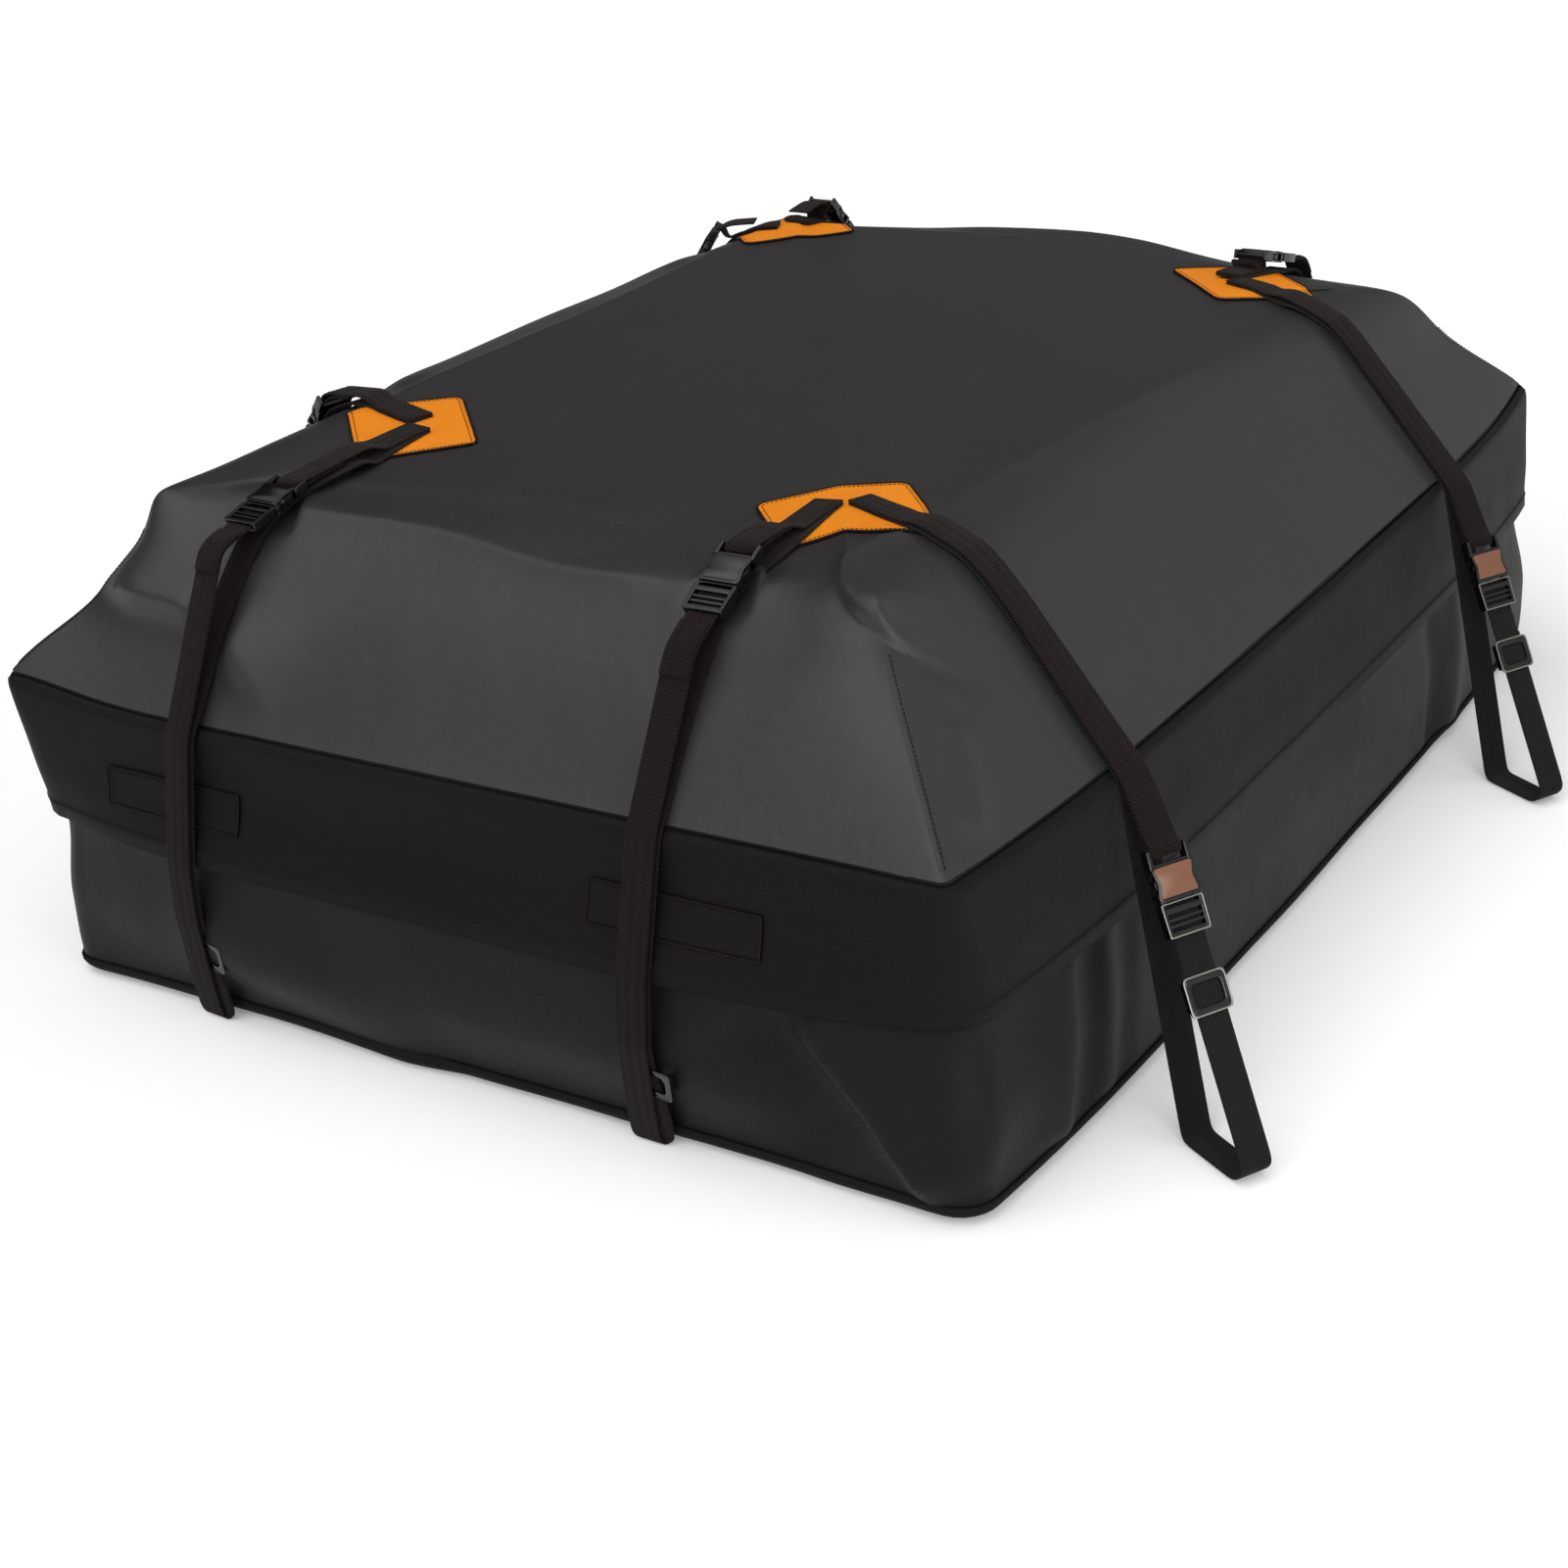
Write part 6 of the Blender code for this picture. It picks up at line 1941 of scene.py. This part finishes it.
@dataclass
class CornerPatch:
    """The orange patch that a corner's two strap pairs are sewn to."""

    form: CornerForm
    wardrobe: Wardrobe
    length: float = 0.114
    width: float = 0.096
    corner_radius: float = 0.009
    thickness: float = 0.0013
    lift: float = 0.0004
    columns: int = 33
    rows: int = 25
    past_seams: float = 0.0125
    edging: Stitching = Stitching(pitch=0.0016, length=0.0026, radius=0.0012)

    @property
    def centre(self) -> tuple[Vector, Vector, Vector]:
        """The patch's centre and its two level axes.

        Returns:
            The centre, the way along it and the way across.
        """
        ways = [math.radians(run.angle) for run in (self.form.end, self.form.side)]
        end, side = (Vector((math.cos(a), math.sin(a), 0)) for a in ways)
        forward = self.past_seams / math.sin(end.angle(side) / 2) + self.form.patch_forward
        centre = Vector((*self.form.patch_at, 0)) + (end + side).normalized() * forward
        long_axis = Vector((self.form.corner.sign_x, -self.form.corner.sign_y, 0)).normalized()
        return centre, long_axis, Vector((-long_axis.y, long_axis.x, 0))

    def build(self, bag: BagCloth) -> Piece:
        """Drapes the patch over the bag's top.

        Args:
            bag: The dressed bag.

        Returns:
            The patch.
        """
        trees = tree_of(bag.top)
        centre, long_axis, wide_axis = self.centre
        xs, ys = np.linspace(-1, 1, self.columns), np.linspace(-1, 1, self.rows)
        half_x, half_y, radius = self.length / 2, self.width / 2, self.corner_radius
        grid = np.zeros((len(ys), len(xs), 3))
        flat = np.zeros((len(ys), len(xs), 2))
        for j, y in enumerate(ys):
            for i, x in enumerate(xs):
                px, py = x * half_x, y * half_y
                over_x, over_y = max(abs(px) - half_x + radius, 0), max(abs(py) - half_y + radius, 0)
                reach = math.hypot(over_x, over_y)
                if over_x > 0 and over_y > 0 and reach > 0:
                    scale = max(over_x, over_y) / reach
                    px -= math.copysign(over_x * (1 - scale), px)
                    py -= math.copysign(over_y * (1 - scale), py)
                level = centre + long_axis * px + wide_axis * py + Vector((0, 0, 0.2))
                hit = outermost(trees, level, Vector((0, 0, 1)))
                grid[j, i] = hit[0] + hit[1] * self.lift
                flat[j, i] = (px, py)
        name = f"{self.form.corner.value}_patch"
        mesh = grid_mesh(f"{name}_cloth", grid, flat, wrap=False)
        piece = add_piece(f"{name}_cloth", mesh, self.wardrobe.patch, "bag", Slot.PATCH_CLOTH, name)
        thicken(piece, self.thickness, 1)
        edge, seam = ring_of(grid, self.thickness * 0.5, 0, 0), ring_of(grid, self.thickness, 1, 1)
        self.edging.lay(f"{name}_edging", [edge], self.wardrobe.maroon_thread, Slot.PATCH_CLOTH)
        Stitching().lay(f"{name}_stitches", [seam], self.wardrobe.maroon_thread, Slot.PATCH_CLOTH)
        return piece


@dataclass
class Keeper:
    """The strip sewn to the flap that holds an end strap's lower layer."""

    corner: Corner
    wardrobe: Wardrobe
    thickness: float = 0.0013
    lift: float = 0.0004
    columns: int = 70
    rows: int = 9
    edging: Stitching = Stitching(pitch=0.0016, length=0.0024, radius=0.0008)

    def build(self, flap: StormFlap) -> None:
        """Lays the strip on the flap.

        Args:
            flap: The dressed flap.
        """
        node = f"{self.corner.value}_keeper"
        trees = tree_of(flap.piece)
        low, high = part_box(node)
        out = Vector((0, self.corner.sign_y, 0))
        xs, zs = np.linspace(low[0], high[0], self.columns), np.linspace(low[2], high[2], self.rows)
        if self.corner.sign_y > 0:
            xs = xs[::-1]
        hits = [[outermost(trees, Vector((x, 0, z)), out) for x in xs] for z in zs]
        grid = np.array([[hit[0] + hit[1] * self.lift for hit in row] for row in hits])
        flat = np.stack(np.meshgrid(xs, zs), axis=-1)
        mesh = grid_mesh(f"{node}_strip", grid, flat, wrap=False)
        piece = add_piece(f"{node}_strip", mesh, self.wardrobe.flap, "bag", Slot.FLAP_CLOTH, node)
        thicken(piece, self.thickness, 1)
        edge, seam = ring_of(grid, self.thickness, 0, 0), ring_of(grid, self.thickness, 1, 2)
        self.edging.lay(f"{node}_edging", [edge], self.wardrobe.maroon_thread, Slot.FLAP_CLOTH)
        Stitching().lay(f"{node}_stitches", [seam], self.wardrobe.dark_thread, Slot.FLAP_CLOTH)


@dataclass
class ZipUnit:
    """The zip behind the flap: its chain, two sliders and their pulls."""

    wardrobe: Wardrobe

    def dress(self) -> None:
        """Finishes the CAD nodes, whose shape is right."""
        metal = [f"zip_{kind}_{side}" for kind in ("slider", "pull") for side in ("left", "right")]
        for name in ("zip_chain", *metal):
            node = frame["nodes"][name]
            node.data.materials.clear()
            node.data.materials.append(self.wardrobe.zinc if name in metal else self.wardrobe.binding)


@dataclass
class Studio:
    """A pale floor, soft lamps and the camera at the photograph's angle.

    Each part of the sky has its direction, the cosine that it starts at and the light that it adds or takes away.
    """

    eye: tuple[float, float, float] = (1.130976, -1.743552, 0.978912)
    yaw: float = 0.607
    pitch: float = 0.435
    roll: float = -0.089
    lens: float = 57.91
    key_place: tuple[float, float, float] = (0.5, -2.9, 2.2)
    key_size: float = 2.2
    key_power: float = 3.0
    fill_place: tuple[float, float, float] = (1.6, -1.0, 0.5)
    fill_size: float = 0.8
    fill_power: float = 6.5
    aim_height: float = 0.2
    sky_level: float = 0.62
    sky_least: float = 0.02
    floor_reach: float = 9.0
    floor_drop: float = 0.0004
    floor_lit: str = "#8c8c8c"
    floor_seen: str = "#f6f6f6"
    floor_glow: float = 0.155
    sky_parts: tuple[tuple[float, ...], ...] = (
        (-0.08, -0.58, 0.81, 0.60, 1.30),
        (-0.50, 0.00, 0.87, 0.80, 0.60),
        (-0.80, -0.56, 0.20, 0.58, -0.42),
        (0.86, -0.50, 0.05, 0.66, 0.25),
        (-0.49, 0.76, 0.35, 0.55, -0.50),
        (-0.94, 0.15, 0.35, 0.70, -0.35),
    )

    def camera(self) -> None:
        """Sets up the camera."""
        level = math.cos(self.pitch)
        ahead = Vector((-math.sin(self.yaw) * level, math.cos(self.yaw) * level, -math.sin(self.pitch)))
        right = Vector((math.cos(self.yaw), math.sin(self.yaw), 0))
        up = right.cross(ahead)
        across = right * math.cos(self.roll) + up * math.sin(self.roll)
        above = up * math.cos(self.roll) - right * math.sin(self.roll)
        camera = bpy.data.objects.new("camera", bpy.data.cameras.new("camera"))
        camera.data.lens = self.lens
        camera.data.sensor_width = 36.0
        camera.data.clip_start = 0.02
        camera.matrix_world = Matrix((across, above, -ahead)).transposed().to_4x4()
        camera.location = self.eye
        bpy.context.scene.collection.objects.link(camera)
        bpy.context.scene.camera = camera

    def seen(self, tree: Tree) -> bpy.types.NodeSocket:
        """Tells looks from light.

        Args:
            tree: The floor's node tree.

        Returns:
            1 for what the camera, a gloss or a clear piece sees, and 0 for the light that falls.
        """
        path = add_node(tree, "ShaderNodeLightPath")
        seen = path.outputs["Is Camera Ray"]
        for ray in ("Is Glossy Ray", "Is Transmission Ray"):
            either = add_node(tree, "ShaderNodeMath", {"operation": "MAXIMUM"}, {0: seen, 1: path.outputs[ray]})
            seen = either.outputs[0]
        return seen

    def surroundings(self) -> None:
        """Sets up the floor and the world."""
        mesh = bpy.data.meshes.new("floor")
        far = self.floor_reach
        mesh.from_pydata([(-far, -far, 0), (far, -far, 0), (far, far, 0), (-far, far, 0)], [], [(0, 1, 2, 3)])
        floor = bpy.data.objects.new("floor", mesh)
        floor.location.z = -self.floor_drop
        material, tree, shader = blank_material("painted_studio_floor")
        colours = {"data_type": "RGBA", 6: linear(self.floor_lit), 7: linear(self.floor_seen)}
        shade = add_node(tree, "ShaderNodeMix", colours, {0: self.seen(tree)})
        tree.links.new(shade.outputs[2], shader.inputs["Base Color"])
        shader.inputs["Roughness"].default_value = 0.9
        shader.inputs["Specular IOR Level"].default_value = 0.0
        shader.inputs["Emission Color"].default_value = (1, 1, 1, 1)
        glow = add_node(tree, "ShaderNodeMath", {"operation": "MULTIPLY", 1: self.floor_glow}, {0: self.seen(tree)})
        tree.links.new(glow.outputs[0], shader.inputs["Emission Strength"])
        mesh.materials.append(material)
        bpy.context.scene.collection.objects.link(floor)
        self.sky()

    def sky(self) -> None:
        """Lights the scene from all round: brightest high over the front, dim low on the left and behind."""
        world = bpy.data.worlds.new("studio")
        world.use_nodes = True
        bpy.context.scene.world = world
        tree = world.node_tree
        way = add_node(tree, "ShaderNodeTexCoord").outputs["Generated"]
        level = add_node(tree, "ShaderNodeValue").outputs[0]
        level.default_value = self.sky_level
        for x, y, z, start, gain in self.sky_parts:
            facing = {"operation": "DOT_PRODUCT", 1: Vector((x, y, z)).normalized()}
            toward = add_node(tree, "ShaderNodeVectorMath", facing, {0: way})
            step = {"interpolation_type": "SMOOTHSTEP", "From Min": start, "From Max": 1.0, "To Max": gain}
            share = add_node(tree, "ShaderNodeMapRange", step, {"Value": toward.outputs["Value"]})
            both = {0: level, 1: share.outputs["Result"]}
            level = add_node(tree, "ShaderNodeMath", {"operation": "ADD"}, both).outputs[0]
        least = {"operation": "MAXIMUM", 1: self.sky_least}
        whole = add_node(tree, "ShaderNodeMath", least, {0: level}).outputs[0]
        background = tree.nodes["Background"]
        background.inputs["Color"].default_value = (1, 1, 1, 1)
        tree.links.new(whole, background.inputs["Strength"])

    def lamp(self, name: str, place: Vector, size: float, power: float) -> None:
        """Adds a soft square lamp that faces the bag.

        Args:
            name: The lamp's name.
            place: Where it is.
            size: The length of its sides.
            power: Its power in watts.
        """
        lamp = bpy.data.objects.new(name, bpy.data.lights.new(name, "AREA"))
        lamp.data.size = size
        lamp.data.energy = power
        lamp.location = place
        lamp.rotation_euler = (place - Vector((0, 0, self.aim_height))).to_track_quat("Z", "Y").to_euler()
        bpy.context.scene.collection.objects.link(lamp)

    def build(self) -> None:
        """Sets up everything round the carrier."""
        bpy.context.scene.view_settings.view_transform = "Standard"
        self.camera()
        self.surroundings()
        self.lamp("key", Vector(self.key_place), self.key_size, self.key_power)
        self.lamp("fill", Vector(self.fill_place), self.fill_size, self.fill_power)


def main() -> None:
    """Builds and dresses the carrier."""
    logging.basicConfig(level=logging.INFO, format="%(message)s")
    Studio().build()
    wardrobe = Wardrobe()
    form, hang = BagForm(), ClothHang()
    columns = form.columns(end_count=140, side_count=170, arc_count=5)
    pairs = [StrapPair(corner, run, wardrobe) for corner in form.corners for run in Run]
    bag = BagCloth(form, hang, wardrobe, columns)
    bag.build([route for pair in pairs for route in (pair.long_route, pair.short_route)])
    CornerSeams(bag, wardrobe).build()
    flap = StormFlap(form, hang, wardrobe, columns)
    flap.build()
    BaseBinding(form, hang, wardrobe, columns).build()
    patches = {corner.corner: CornerPatch(corner, wardrobe).build(bag) for corner in form.corners}
    for corner in form.corners:
        Keeper(corner.corner, wardrobe).build(flap)
    for pair in pairs:
        pair.settle(tree_of(bag.top, patches[pair.form.corner]))
        pair.dress()
    ZipUnit(wardrobe).dress()


if __name__ == "__main__":
    main()
